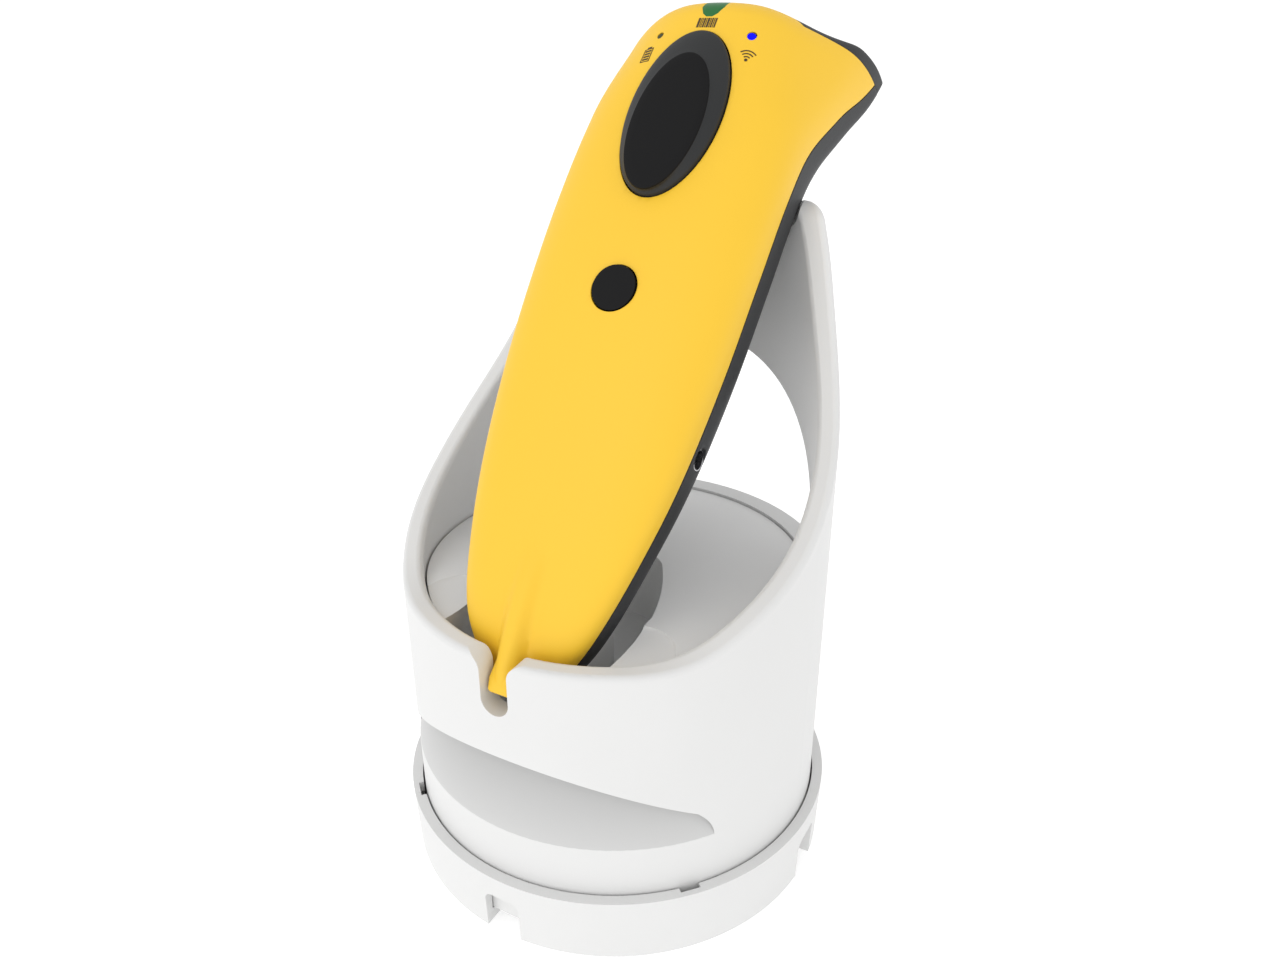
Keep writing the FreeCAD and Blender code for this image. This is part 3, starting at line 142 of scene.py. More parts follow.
def moulded(name, color, roughness, grain=0.03, grain_scale=2600.0, spread=0.04, coat=0.0, metallic=0.0,
            specular=0.5):
    """Moulded plastic or finished metal, with a fine surface grain and a slow drift of tone and gloss."""
    material = bpy.data.materials.new(name)
    material.use_nodes = True
    tree = material.node_tree
    shader = tree.nodes["Principled BSDF"]
    socket(shader, "Metallic", metallic)
    socket(shader, "Specular IOR Level", specular)
    socket(shader, "Coat Weight", coat)
    socket(shader, "Coat Roughness", 0.2)
    place = tree.nodes.new("ShaderNodeTexCoord")

    drift = tree.nodes.new("ShaderNodeTexNoise")
    socket(drift, "Scale", DRIFT_SCALE)
    socket(drift, "Detail", 3.0)
    tree.links.new(place.outputs["Object"], drift.inputs["Vector"])

    tone = tree.nodes.new("ShaderNodeValToRGB")
    for element, position, change in zip(tone.color_ramp.elements, (0.3, 0.7), (-spread, spread)):
        element.position = position
        element.color = (*(min(1.0, channel * (1 + change)) for channel in color), 1)
    tree.links.new(drift.outputs["Fac"], tone.inputs["Fac"])
    tree.links.new(tone.outputs["Color"], shader.inputs["Base Color"])

    gloss = tree.nodes.new("ShaderNodeMapRange")
    socket(gloss, "To Min", roughness * (1 - GLOSS_SPREAD))
    socket(gloss, "To Max", min(1.0, roughness * (1 + GLOSS_SPREAD)))
    tree.links.new(drift.outputs["Fac"], gloss.inputs["Value"])
    tree.links.new(gloss.outputs["Result"], shader.inputs["Roughness"])

    speckle = tree.nodes.new("ShaderNodeTexNoise")
    socket(speckle, "Scale", grain_scale)
    socket(speckle, "Detail", 2.0)
    tree.links.new(place.outputs["Object"], speckle.inputs["Vector"])
    bump = tree.nodes.new("ShaderNodeBump")
    socket(bump, "Strength", grain)
    socket(bump, "Distance", GRAIN_HEIGHT)
    tree.links.new(speckle.outputs["Fac"], bump.inputs["Height"])
    tree.links.new(bump.outputs["Normal"], shader.inputs["Normal"])
    return material


def math_node(tree, operation, first, second):
    """A maths node whose inputs are sockets or plain numbers."""
    node = tree.nodes.new("ShaderNodeMath")
    node.operation = operation
    for slot_number, value in enumerate((first, second)):
        if isinstance(value, (int, float)):
            node.inputs[slot_number].default_value = value
        else:
            tree.links.new(value, node.inputs[slot_number])
    return node.outputs["Value"]


def shade_painted_recess(material):
    """Paint shade into the crescent on the cup's front: a greyer floor, darker towards its deep upper
    edge, where the shadow under its lip falls.
    """
    tree = material.node_tree
    shader = tree.nodes["Principled BSDF"]
    place = tree.nodes.new("ShaderNodeTexCoord")
    parts = tree.nodes.new("ShaderNodeSeparateXYZ")
    tree.links.new(place.outputs["Object"], parts.inputs["Vector"])
    x, y, z = (parts.outputs[axis] for axis in "XYZ")
    # The mask of the painted shade: the recess floor, below the cup's outer surface, between its foot and
    # top, on the front.
    squares = math_node(tree, "ADD", math_node(tree, "MULTIPLY", x, x), math_node(tree, "MULTIPLY", y, y))
    radius = math_node(tree, "SQRT", squares, 0.0)
    inside = math_node(tree, "LESS_THAN", radius, (CUP_RADIUS - RECESS_STEP) * MM)
    limits = (
        ("LESS_THAN", z, RECESS_TOP * MM),
        ("GREATER_THAN", z, RECESS_FOOT * MM),
        ("LESS_THAN", y, 0.0),
    )
    for operation, value, limit in limits:
        inside = math_node(tree, "MULTIPLY", inside, math_node(tree, operation, value, limit))
    # Painted shade: the colour is darkened from the recess's edge to its depth, standing in for the shadow
    # under its lip.
    shade = tree.nodes.new("ShaderNodeMapRange")
    socket(shade, "From Min", CUP_RADIUS * MM)
    socket(shade, "From Max", (CUP_RADIUS - RECESS_DEPTH) * MM)
    socket(shade, "To Min", RECESS_EDGE_PAINTED_SHADE)
    socket(shade, "To Max", RECESS_DEEP_PAINTED_SHADE)
    tree.links.new(radius, shade.inputs["Value"])
    darker = tree.nodes.new("ShaderNodeMix")
    darker.data_type = "RGBA"
    darker.blend_type = "MULTIPLY"
    plain = shader.inputs["Base Color"].links[0].from_socket
    colour_inputs = [item for item in darker.inputs if item.type == "RGBA"]
    colour_output = next(item for item in darker.outputs if item.type == "RGBA")
    tree.links.new(inside, darker.inputs["Factor"])
    tree.links.new(plain, colour_inputs[0])
    tree.links.new(shade.outputs["Result"], colour_inputs[1])
    tree.links.new(colour_output, shader.inputs["Base Color"])
    return material


def lamp_material(name, color, strength):
    """A light pipe that is lit: clear plastic with a glow of its own colour."""
    material = moulded(name, color, 0.35, specular=0.15)
    shader = material.node_tree.nodes["Principled BSDF"]
    socket(shader, "Emission Color", (*color, 1))
    socket(shader, "Emission Strength", strength)
    return material


def brushed(name, color, roughness):
    """Turned or rolled metal with fine lines along one way."""
    material = moulded(name, color, roughness, metallic=1.0)
    tree = material.node_tree
    shader = tree.nodes["Principled BSDF"]
    bump = shader.inputs["Normal"].links[0].from_node
    place = tree.nodes.new("ShaderNodeTexCoord")
    stretch = tree.nodes.new("ShaderNodeMapping")
    socket(stretch, "Scale", (1.0, 1.0, 30.0))
    lines = tree.nodes.new("ShaderNodeTexNoise")
    socket(lines, "Scale", 900.0)
    tree.links.new(place.outputs["Object"], stretch.inputs["Vector"])
    tree.links.new(stretch.outputs["Vector"], lines.inputs["Vector"])
    tree.links.new(lines.outputs["Fac"], bump.inputs["Height"])
    return material


DOCK_WHITE = (0.72, 0.72, 0.715)
DOCK_LOOK = {"roughness": 0.42, "grain": 0.05, "spread": 0.008}
# The cup's white carries painted shade in the crescent recess on its front.
CUP_WHITE_PAINTED_SHADE = shade_painted_recess(moulded("cup_white_painted_shade", DOCK_WHITE, **DOCK_LOOK))
ICON_INK = moulded("icon_ink", (0.060, 0.032, 0.006), 0.55, grain=0.1)

# The finish of each material slot of the record.
MATERIALS = {
    "dock_white": moulded("dock_white", DOCK_WHITE, **DOCK_LOOK),
    "dock_grey": moulded("dock_grey", (0.78, 0.78, 0.775), 0.40, grain=0.05, spread=0.015),
    "pad_rubber": moulded("pad_rubber", (0.02, 0.02, 0.02), 0.85, grain=0.3, grain_scale=1400.0),
    "shell_yellow": moulded("shell_yellow", (0.90, 0.555, 0.032), 0.50,
                            grain=0.04, spread=0.012, specular=0.4),
    "shell_grey": moulded("shell_grey", (0.026, 0.027, 0.029), 0.50,
                          grain=0.10, spread=0.05, specular=0.25),
    "button_grey": moulded("button_grey", (0.019, 0.020, 0.021), 0.50,
                           grain=0.08, spread=0.05, specular=0.35),
    "button_black": moulded("button_black", (0.006, 0.006, 0.0065), 0.60,
                            grain=0.08, spread=0.05, specular=0.15),
    "seal_rubber": moulded("seal_rubber", (0.012, 0.010, 0.008), 0.80, grain=0.2),
    "light_green": lamp_material("light_green", (0.028, 0.150, 0.045), 0.05),
    "light_olive": lamp_material("light_olive", (0.060, 0.060, 0.018), 0.02),
    "light_blue": lamp_material("light_blue", (0.001, 0.001, 0.80), 0.25),
    "window_red": moulded("window_red", (0.060, 0.006, 0.008), 0.08, grain=0.0, coat=1.0),
    "lens_glass": moulded("lens_glass", (0.020, 0.022, 0.035), 0.06, grain=0.0, coat=1.0),
    "sheet_steel": brushed("sheet_steel", (0.56, 0.56, 0.57), 0.32),
    "cast_weight": moulded("cast_weight", (0.10, 0.10, 0.105), 0.75, grain=0.6, grain_scale=500.0),
    "contact_gold": brushed("contact_gold", (0.78, 0.56, 0.20), 0.22),
    "jack_metal": brushed("jack_metal", (0.60, 0.60, 0.62), 0.25),
    "board_green": moulded("board_green", (0.010, 0.110, 0.045), 0.35,
                           grain=0.15, grain_scale=900.0, coat=0.5),
    "part_black": moulded("part_black", (0.018, 0.018, 0.019), 0.45, grain=0.1),
    "cell_foil": moulded("cell_foil", (0.42, 0.44, 0.47), 0.35, grain=0.3, grain_scale=700.0),
}


def coat_cad_nodes():
    """Give every CAD node the finish of its material slot, the cup a white with painted shade in its front
    recess, and round the base ring's edges a little.
    """
    for entry in frame["record"]["subparts"]:
        node = NODES[entry["node"]]
        node.data.materials.clear()
        node.data.materials.append(MATERIALS[entry["material_slot"]])
    # The cup gets the white with painted shade in its crescent recess.
    NODES["dock_cup"].data.materials[0] = CUP_WHITE_PAINTED_SHADE
    edge_round(NODES["base_ring"], 0.5, 3, 50)


# ---------------------------------------------------------------- mesh helpers

def mesh_object(name, points, faces, matrix=SCANNER):
    """A mesh from points in a frame of its own, in mm, placed in the shared frame."""
    data = bpy.data.meshes.new(name)
    data.from_pydata([matrix @ Vector(point) for point in points], [], faces)
    data.update()
    made = bpy.data.objects.new(name, data)
    bpy.context.scene.collection.objects.link(made)
    face_outwards(made)
    return made


def face_outwards(item):
    """Turn every face of a closed mesh outwards."""
    shape = bmesh.new()
    shape.from_mesh(item.data)
    bmesh.ops.recalc_face_normals(shape, faces=shape.faces)
    shape.to_mesh(item.data)
    shape.free()


def boolean(item, tool, operation="DIFFERENCE"):
    """Apply a boolean and drop the tool."""
    change = item.modifiers.new(tool.name, "BOOLEAN")
    change.operation = operation
    change.solver = "EXACT"
    change.object = tool
    apply_modifiers(item)
    bpy.data.objects.remove(tool)


def apply_modifiers(item):
    """Make the modifiers' result the piece's own mesh."""
    graph = bpy.context.evaluated_depsgraph_get()
    data = bpy.data.meshes.new_from_object(item.evaluated_get(graph))
    item.modifiers.clear()
    item.data = data


def edge_round(item, width, segments, angle):
    """A modifier that rounds the edges that are sharper than an angle."""
    bevel = item.modifiers.new("edge_round", "BEVEL")
    bevel.width = width * MM
    bevel.segments = segments
    bevel.limit_method = "ANGLE"
    bevel.angle_limit = math.radians(angle)


def soften(item, width, segments=2, angle=35):
    """Round the sharp edges a little and shade the rest smooth."""
    if width:
        edge_round(item, width, segments, angle)
        apply_modifiers(item)
    item.data.shade_smooth()
    item.data.set_sharp_from_angle(angle=math.radians(angle))


def paint(item, *slots):
    """Give a piece the finishes of some material slots."""
    item.data.materials.clear()
    for slot in slots:
        item.data.materials.append(MATERIALS[slot])


def finish_piece(item, slot, body, *nodes):
    """Colour a piece, fix it to its body and let it stand for its CAD nodes."""
    if not item.data.materials:
        paint(item, slot)
    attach(item, body)
    if nodes:
        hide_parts(*nodes)


def prism(name, outline, low, high, matrix=SCANNER):
    """A closed prism over an outline in the frame's x and y."""
    points = [(x, y, level) for level in (low, high) for x, y in outline]
    return mesh_object(name, points, stacked_faces(2, len(outline)), matrix)


def ring_points(count, half_x, half_y, centre=(0.0, 0.0)):
    """Points of an ellipse, anticlockwise."""
    turns = [math.tau * i / count for i in range(count)]
    return [(centre[0] + half_x * math.cos(a), centre[1] + half_y * math.sin(a)) for a in turns]


def stacked_faces(rings, count):
    """Faces of a closed form made of rings of equally many points, from its bottom ring to its top one."""
    faces = []
    for r in range(rings - 1):
        for c in range(count):
            a, b = r * count + c, r * count + (c + 1) % count
            faces.append((a, b, b + count, a + count))
    faces.append(tuple(reversed(range(count))))
    faces.append(tuple(range((rings - 1) * count, rings * count)))
    return faces


def box(name, low, high):
    """A box of the scanner's frame between two corners."""
    (x0, y0, z0), (x1, y1, z1) = low, high
    return prism(name, [(x0, y0), (x1, y0), (x1, y1), (x0, y1)], z0, z1)


# ---------------------------------------------------------------- scanner: skin

def slope(index, column):
    """How fast a value of the listed cross-sections changes along the body at one of them."""
    before, after = STATIONS[max(index - 1, 0)], STATIONS[min(index + 1, len(STATIONS) - 1)]
    return (after[column] - before[column]) / (after[0] - before[0])


def station_at(along):
    """A cross-section between two of the listed ones, on smooth curves through them all."""
    index = max(i for i in range(len(STATIONS) - 1) if i == 0 or STATIONS[i][0] <= along)
    start, end = STATIONS[index], STATIONS[index + 1]
    gap = end[0] - start[0]
    share = (along - start[0]) / gap
    values = [along]
    for column in range(1, 5):
        slope_start, slope_end = slope(index, column) * gap, slope(index + 1, column) * gap
        values.append(
            start[column] * (1 + 2 * share) * (1 - share) ** 2
            + slope_start * share * (1 - share) ** 2
            + end[column] * share ** 2 * (3 - 2 * share)
            - slope_end * share ** 2 * (1 - share)
        )
    return values


def section_rows():
    """Cross-sections from tail to nose, close together where the form turns."""
    straight_end = NOSE_END - NOSE_ROUND
    even_rows = [EVEN_START + (straight_end - EVEN_START) * i / EVEN_STEPS for i in range(EVEN_STEPS + 1)]
    rows = [station_at(along) for along in TAIL_ROWS + even_rows]
    for step in range(1, NOSE_ROUND_STEPS + 1):
        turn = math.radians(90 * step / NOSE_ROUND_STEPS)
        along, half_width, crown, seam, underside = station_at(straight_end + NOSE_ROUND * math.sin(turn))
        inset = NOSE_ROUND * (1 - math.cos(turn))
        side_inset = NOSE_SIDE_SHARE * inset
        rows.append([along, half_width - side_inset, crown - inset, seam, underside + side_inset])
    return rows


def ease(share):
    """A share held between 0 and 1, with a gentle start and end."""
    share = max(0.0, min(1.0, share))
    return share * share * (3 - 2 * share)


def crown_power(along):
    """How square the upper half is: rounder shoulders towards the nose."""
    share = (along - ROUNDER_START) / (ROUNDER_END - ROUNDER_START)
    return CROWN_POWER + (NOSE_CROWN_POWER - CROWN_POWER) * ease(share)


def underside_power(along):
    """How square the lower half is: squarer corners under the nose."""
    share = (along - SQUARER_START) / (SQUARER_END - SQUARER_START)
    return UNDERSIDE_POWER + (NOSE_UNDERSIDE_POWER - UNDERSIDE_POWER) * ease(share)


def drawn_back(x, along, height):
    """How far the nose's upper corners are swept back in plan."""
    side = max(0.0, min(1.0, (abs(x) - CORNER_START) / (CORNER_END - CORNER_START)))
    reach = ease((along - SWEEP_START) / (NOSE_END - SWEEP_START))
    return CORNER_PULL * side * side * reach * ease((height - CORNER_LOW) / (CORNER_HIGH - CORNER_LOW))


def swept(x, along, height):
    """A point of the skin, moved back where the nose's corners are swept."""
    return [x, along - drawn_back(x, along, height), height]


def arc(row, direction):
    """Points of one half of a section, from the right seam over the apex to the left seam."""
    along, half_width, crown, seam, underside = row
    power = crown_power(along) if direction > 0 else underside_power(along)
    apex = crown if direction > 0 else underside
    points = []
    for step in range(COLUMNS + 1):
        angle = math.pi * step / COLUMNS
        across, rise = math.cos(angle), math.sin(angle)
        length = (abs(across) ** power + abs(rise) ** power) ** (1 / power)
        points.append((half_width * across / length, along, seam + (apex - seam) * rise / length))
    return points


def cap(points):
    """Rows of points that close a half section, from its arc straight to its seam."""
    half_width, _, seam = points[0]
    rows = []
    for step in range(CAP_STEPS + 1):
        share = step / CAP_STEPS
        row = []
        for column, (x, along, height) in enumerate(points):
            on_seam = half_width * math.cos(math.pi * column / COLUMNS)
            row.append((x + (on_seam - x) * share, along, height + (seam - height) * share))
        rows.append(row)
    return rows


class Sheets:
    """Points and faces of a closed skin, gathered one grid of rows at a time and then welded."""

    def __init__(self):
        self.points, self.faces = [], []

    def add(self, rows):
        """Add a grid of faces between rows of equally many points."""
        width, base = len(rows[0]), len(self.points)
        for row in rows:
            self.points += [swept(*point) for point in row]
        for r in range(len(rows) - 1):
            for c in range(width - 1):
                a = base + r * width + c
                self.faces.append((a, a + 1, a + width + 1, a + width))

    def weld(self, name):
        """Make one closed mesh of the grids."""
        made = mesh_object(name, self.points, self.faces)
        shape = bmesh.new()
        shape.from_mesh(made.data)
        bmesh.ops.remove_doubles(shape, verts=shape.verts, dist=WELD * MM)
        shape.to_mesh(made.data)
        shape.free()
        face_outwards(made)
        return made


def smooth_max(a, b, reach):
    """The larger of two heights, blended over a reach."""
    share = max(0.0, min(1.0, 0.5 + (a - b) / (2 * reach)))
    return b + (a - b) * share + reach * share * (1 - share)


def ridge_height(x, along):
    """The ridge that runs down the tail and ends as the locating tab."""
    if along > RIDGE_END:
        return BELOW_ALL
    past = max(0.0, along - RIDGE_FADE)
    half_width = RIDGE_HALF_WIDTH + RIDGE_FLARE * min(1.0, along / RIDGE_FADE) + RIDGE_SPREAD * past
    tip_rise = RIDGE_TIP_RISE * min(1.0, along / RIDGE_TIP_LENGTH)
    swell = RIDGE_SWELL * math.sin(math.pi * min(1.0, along / RIDGE_SWELL_LENGTH))
    sink = RIDGE_SINK * (past / (RIDGE_END - RIDGE_FADE)) ** 2
    return RIDGE_TOP + tip_rise + swell - sink - RIDGE_SIDE_DROP * abs(x / half_width) ** RIDGE_SIDE_POWER


def inset_row(row, direction):
    """A section of the hollow inside: the outer one, smaller by the wall."""
    along, half_width, crown, seam, underside = row
    shrink = min(WALL, THIN_SHARE * abs((crown if direction > 0 else underside) - seam))
    along = min(max(along, HOLLOW_START), NOSE_END - WALL)
    return [along, max(half_width - WALL, LEAST_HALF_WIDTH), crown - shrink, seam, underside + shrink]


def form_mesh(name, direction, seam_shift=0.0):
    """A closed shell of one half of the skin, between the outer form and the form inset by the wall."""
    outer, inner = [], []
    for along, half_width, crown, seam, underside in section_rows():
        row = [along, half_width, crown, seam + seam_shift, underside]
        points = arc(row, direction)
        if direction > 0:
            points = [(x, y, smooth_max(z, ridge_height(x, y), RIDGE_BLEND)) for x, y, z in points]
        outer.append(points)
        inner.append(arc(inset_row(row, direction), direction))
    sheets = Sheets()
    sheets.add(outer)
    sheets.add(inner)
    for side in (0, COLUMNS):
        sheets.add([[points[side] for points in outer], [points[side] for points in inner]])
    for end in (0, -1):
        outside, inside = cap(outer[end]), cap(inner[end])
        sheets.add(outside)
        sheets.add(inside)
        sheets.add([outside[-1], inside[-1]])
    return sheets.weld(name)


def nose_solid(name, inset=0.0):
    """The last part of the skin as a closed solid, or the same smaller by an inset and a little longer."""
    start = NOSE_PART_START - (NOSE_PART_OVERLAP if inset else 0.0)
    rows = [[along, half_width - inset, crown - inset, seam, underside + inset]
            for along, half_width, crown, seam, underside in section_rows()
            if start <= along <= NOSE_END - inset + 0.01]
    sheets = Sheets()
    for direction in (1, -1):
        arcs = [arc(row, direction) for row in rows]
        sheets.add(arcs)
        sheets.add(cap(arcs[0]))
        sheets.add(cap(arcs[-1]))
    return sheets.weld(name)


NOSE_ROWS = [row for row in section_rows() if row[0] > NOSE_ROWS_START]


def crown_height(x, along):
    """Height of the yellow face near the nose, at a place across and along the body."""
    rows = NOSE_ROWS
    index = next((i for i in range(1, len(rows)) if rows[i][0] >= along), len(rows) - 1)
    before, after = rows[index - 1], rows[index]
    share = (along - before[0]) / (after[0] - before[0])
    half_width, crown, seam = [before[i] + (after[i] - before[i]) * share for i in (1, 2, 3)]
    power = crown_power(along)
    return seam + (crown - seam) * (1 - min(1.0, abs(x / half_width)) ** power) ** (1 / power)


# ---------------------------------------------------------------- scanner: shells

# The scan button's own plane, tipped to the yellow face, with the button's centre at its origin.
SCAN_PLANE = SCANNER @ Matrix.Translation((0, 107.1, -5.1)) @ Matrix.Rotation(math.radians(-7.2), 4, "X")
SCAN_HALF_WIDTH = 9.45
SCAN_HALF_LENGTH = 17.4
BUTTON_GAP = 0.3
POWER_ALONG = 71.8
POWER_RADIUS = 4.2
SCAN_STEPS = 96
ROUND_STEPS = 32

# The window in the bezel, and the bezel's gap to the two shells.
BEZEL_GAP = 0.06
WINDOW_HALF_WIDTH = 15.0
WINDOW_HALF_HEIGHT = 6.0
WINDOW_CORNER = 2.5
WINDOW_CORNER_STEPS = 6
WINDOW_CENTRE = -25.0

# The light pipes: the outline of the green one, then the round ones by name, side, radius and finish.
GREEN_OUTLINE = [(-2.4, 134.5), (-2.3, 130.1), (-1.5, 128.5), (-0.6, 127.8),
                 (0.6, 127.8), (1.5, 128.5), (2.3, 130.1), (2.4, 134.5)]
LAMPS = [("battery_light", -1, 0.70, "light_olive"), ("radio_light", 1, 0.90, "light_blue")]
LIGHT_X = 9.4
LIGHT_ALONG = 124.3
LENS_GAP = 0.04
LENS_DEPTH = 1.8
LENS_EDGE = 0.12

# Place along the body, half width, top and bottom of each section of the locating tab.
TAB_SECTIONS = [(-0.9, 2.35, -0.5, -2.9), (1.6, 2.45, 0.0, -5.0), (9.0, 1.3, 0.2, -5.0)]

# The grey shell's foot, which fills the tab from below, and its room in the yellow shell, by two corners.
FOOT = ((-2.35, -0.4, -7.4), (2.35, 4.1, -4.3))
FOOT_ROOM = ((-3, -3, -12), (3, 4.2, -4.2))

# Holes in the grey shell: the jack in its right side, the four screws and the two charge contacts.
JACK_PLACE = (0, 46.5, -11.2)
JACK_RADIUS = 2.15
SCREW_PLACES = [(-12.5, 33.0), (12.5, 33.0), (-17.4, 97.0), (17.4, 97.0)]
SCREW_RADIUS = 2.05
CONTACT_PLACES = [(-4.0, 8.0), (4.0, 8.0)]
CONTACT_RADIUS = 1.6


def bezel_box(name, gap=0.0):
    """The room of the bezel, out past the nose, with a gap to the shells."""
    return box(name, (-40, BEZEL_LINE + gap, -60), (40, NOSE_END + 6, HOOD_LINE - gap))


def hole(shell, name, radius, place, low, high, matrix=SCANNER, steps=ROUND_STEPS):
    """Cut a round hole between two heights."""
    boolean(shell, prism(name, ring_points(steps, radius, radius, place), low, high, matrix))


def window_bezel():
    """The grey face round the window, set into the nose under the yellow hood."""
    bezel = nose_solid("window_bezel_face")
    boolean(bezel, nose_solid("bezel_hollow", WALL))
    boolean(bezel, bezel_box("bezel_room", BEZEL_GAP), "INTERSECT")
    opening = []
    straight_x = WINDOW_HALF_WIDTH - WINDOW_CORNER
    straight_y = WINDOW_HALF_HEIGHT - WINDOW_CORNER
    for quarter, (side_x, side_y) in enumerate(((1, 1), (-1, 1), (-1, -1), (1, -1))):
        for step in range(WINDOW_CORNER_STEPS + 1):
            turn = math.radians(90 * (quarter + step / WINDOW_CORNER_STEPS))
            opening.append((side_x * straight_x + WINDOW_CORNER * math.cos(turn),
                            side_y * straight_y + WINDOW_CORNER * math.sin(turn)))
    upright = Matrix.Translation((0, 0, WINDOW_CENTRE)) @ Matrix.Rotation(math.radians(90), 4, "X")
    boolean(bezel, prism("window_cut", opening, -150, -110, SCANNER @ upright))
    soften(bezel, 0.15)
    finish_piece(bezel, "shell_grey", "scanner", "window_bezel")


def scan_light():
    """The green light pipe, flush with the yellow face and with the front of the hood."""
    pipe = nose_solid("scan_light_lens")
    boolean(pipe, nose_solid("lens_hollow", WALL))
    boolean(pipe, prism("lens_room", GREEN_OUTLINE, -14.9, 2), "INTERSECT")
    soften(pipe, 0.05)
    finish_piece(pipe, "light_green", "scanner", "scan_light")


def small_lights():
    """The two round light pipes, each with a face that lies along the yellow one."""
    for name, side, radius, slot in LAMPS:
        rings = [(-LENS_DEPTH, radius - LENS_GAP), (-0.1, radius - LENS_GAP), (0.02, radius - LENS_EDGE)]
        points = []
        for level, ring in rings:
            for x, y in ring_points(ROUND_STEPS, ring, ring, (side * LIGHT_X, LIGHT_ALONG)):
                points.append(swept(x, y, crown_height(x, y) + level))
        lens = mesh_object(name + "_lens", points, stacked_faces(len(rings), ROUND_STEPS))
        soften(lens, 0.0, angle=40)
        finish_piece(lens, slot, "scanner", name)


def upper_shell():
    """The yellow shell, with its button and light openings and the locating tab."""
    shell = form_mesh("top_shell_skin", 1)
    boolean(shell, bezel_box("bezel_cut"))
    oval = ring_points(SCAN_STEPS, SCAN_HALF_WIDTH + BUTTON_GAP, SCAN_HALF_LENGTH + BUTTON_GAP)
    boolean(shell, prism("scan_cut", oval, -9, 8, SCAN_PLANE))
    hole(shell, "power_cut", POWER_RADIUS + BUTTON_GAP, (0, POWER_ALONG), -9, 4, steps=2 * ROUND_STEPS)
    for _, side, radius, _ in LAMPS:
        hole(shell, "light_cut", radius, (side * LIGHT_X, LIGHT_ALONG), -16, 2)
    boolean(shell, prism("green_cut", GREEN_OUTLINE, -17, 2))
    boolean(shell, locating_tab(), "UNION")
    boolean(shell, box("foot_cut", *FOOT_ROOM))
    soften(shell, 0.12)
    finish_piece(shell, "shell_yellow", "scanner", "top_shell")


def locating_tab():
    """The blunt end of the ridge, which fills the notch in the cup's front and fades into the ridge."""
    points = []
    for along, half, top, bottom in TAB_SECTIONS:
        points += [(-half, along, bottom), (half, along, bottom), (half, along, top), (-half, along, top)]
    tab = mesh_object("locating_tab", points, stacked_faces(len(TAB_SECTIONS), 4))
    soften(tab, 0.7, segments=4, angle=50)
    return tab


def lower_shell():
    """The grey shell, with its jack, screw and contact holes and the foot under the locating tab."""
    shell = form_mesh("bottom_shell_skin", -1, seam_shift=-SEAM_GAP)
    boolean(shell, bezel_box("bezel_cut"))
    sideways = SCANNER @ Matrix.Translation(JACK_PLACE) @ Matrix.Rotation(math.radians(90), 4, "Y")
    hole(shell, "jack_cut", JACK_RADIUS, (0.0, 0.0), 10, 26, matrix=sideways, steps=48)
    for place in SCREW_PLACES:
        underside = station_at(place[1])[4]
        hole(shell, "screw_cut", SCREW_RADIUS, place, underside - 4, underside + 5)
    for place in CONTACT_PLACES:
        hole(shell, "contact_cut", CONTACT_RADIUS, place, -15, -7)
    boolean(shell, box("foot", *FOOT), "UNION")
    soften(shell, 0.12)
    finish_piece(shell, "shell_grey", "scanner", "bottom_shell")


# ---------------------------------------------------------------- scan button

# Height, half width, half length and shift towards the tail of each ring, from the bottom up, and the
# ring at which the raised pad starts.
BUTTON_RINGS = [
    (-3.0, 9.45, 17.40, 0.0),
    (0.25, 9.45, 17.40, 0.0),
    (0.55, 9.30, 17.25, 0.0),
    (0.72, 9.05, 16.95, 0.10),
    (1.10, 8.30, 16.00, 0.95),
    (1.42, 7.65, 15.05, 1.90),
    (1.60, 7.30, 14.50, 2.65),
    (1.72, 7.15, 14.30, 2.90),
    (1.98, 7.07, 14.20, 2.90),
    (2.06, 6.85, 13.95, 2.90),
    (2.10, 5.60, 11.80, 2.80),
    (2.13, 3.60, 7.90, 2.60),
    (2.14, 1.60, 3.60, 2.45),
]
PAD_START = 7


def scan_button():
    """The oval button: a broad sloping bevel round a raised pad that sits towards the tail."""
    points = []
    for height, half_x, half_y, shift in BUTTON_RINGS:
        points += [(x, y, height) for x, y in ring_points(SCAN_STEPS, half_x, half_y, (0.0, -shift))]
    faces = stacked_faces(len(BUTTON_RINGS), SCAN_STEPS)
    button = mesh_object("scan_button_cap", points, faces, SCAN_PLANE)
    paint(button, "button_grey", "button_black")
    underneath = (len(BUTTON_RINGS) - 1) * SCAN_STEPS
    for face in button.data.polygons:
        if face.index >= PAD_START * SCAN_STEPS and face.index != underneath:
            face.material_index = 1
    soften(button, 0.0, angle=50)
    finish_piece(button, "button_grey", "scan_key", "scan_button")


# ---------------------------------------------------------------- icons

ICON_SINK, ICON_RISE = 0.1, 0.05
BATTERY_PLACE = (-10.7, 120.2)
BARCODE_PLACE = (0.0, 126.4)
RADIO_PLACE = (10.0, 119.1)
OUTLINE_STROKE = 0.16
BATTERY_SCALE = 1.2
BARCODE_WIDTHS = (0.42, 0.16, 0.16, 0.34, 0.16, 0.42, 0.16, 0.28, 0.16, 0.30)
BARCODE_GAP = 0.14
BARCODE_HALF_HEIGHT = 1.05
WAVE_RADII = (0.75, 1.4, 2.05)
WAVE_STROKE = 0.24
DOT_RADIUS = 0.32


def icon(name, polygons, centre):
    """Flat ink shapes laid on the yellow face, each a closed slab that follows it."""
    points, faces = [], []
    for outline in polygons:
        start = len(points)
        for level in (-ICON_SINK, ICON_RISE):
            for x, y in outline:
                across, along = centre[0] + x, centre[1] + y
                points.append(swept(across, along, crown_height(across, along) + level))
        for face in stacked_faces(2, len(outline)):
            faces.append(tuple(start + corner for corner in face))
    made = mesh_object(name, points, faces)
    made.data.materials.append(ICON_INK)
    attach(made, "scanner")


def bar(x0, y0, x1, y1):
    """A rectangle between two corners."""
    return [(x0, y0), (x1, y0), (x1, y1), (x0, y1)]


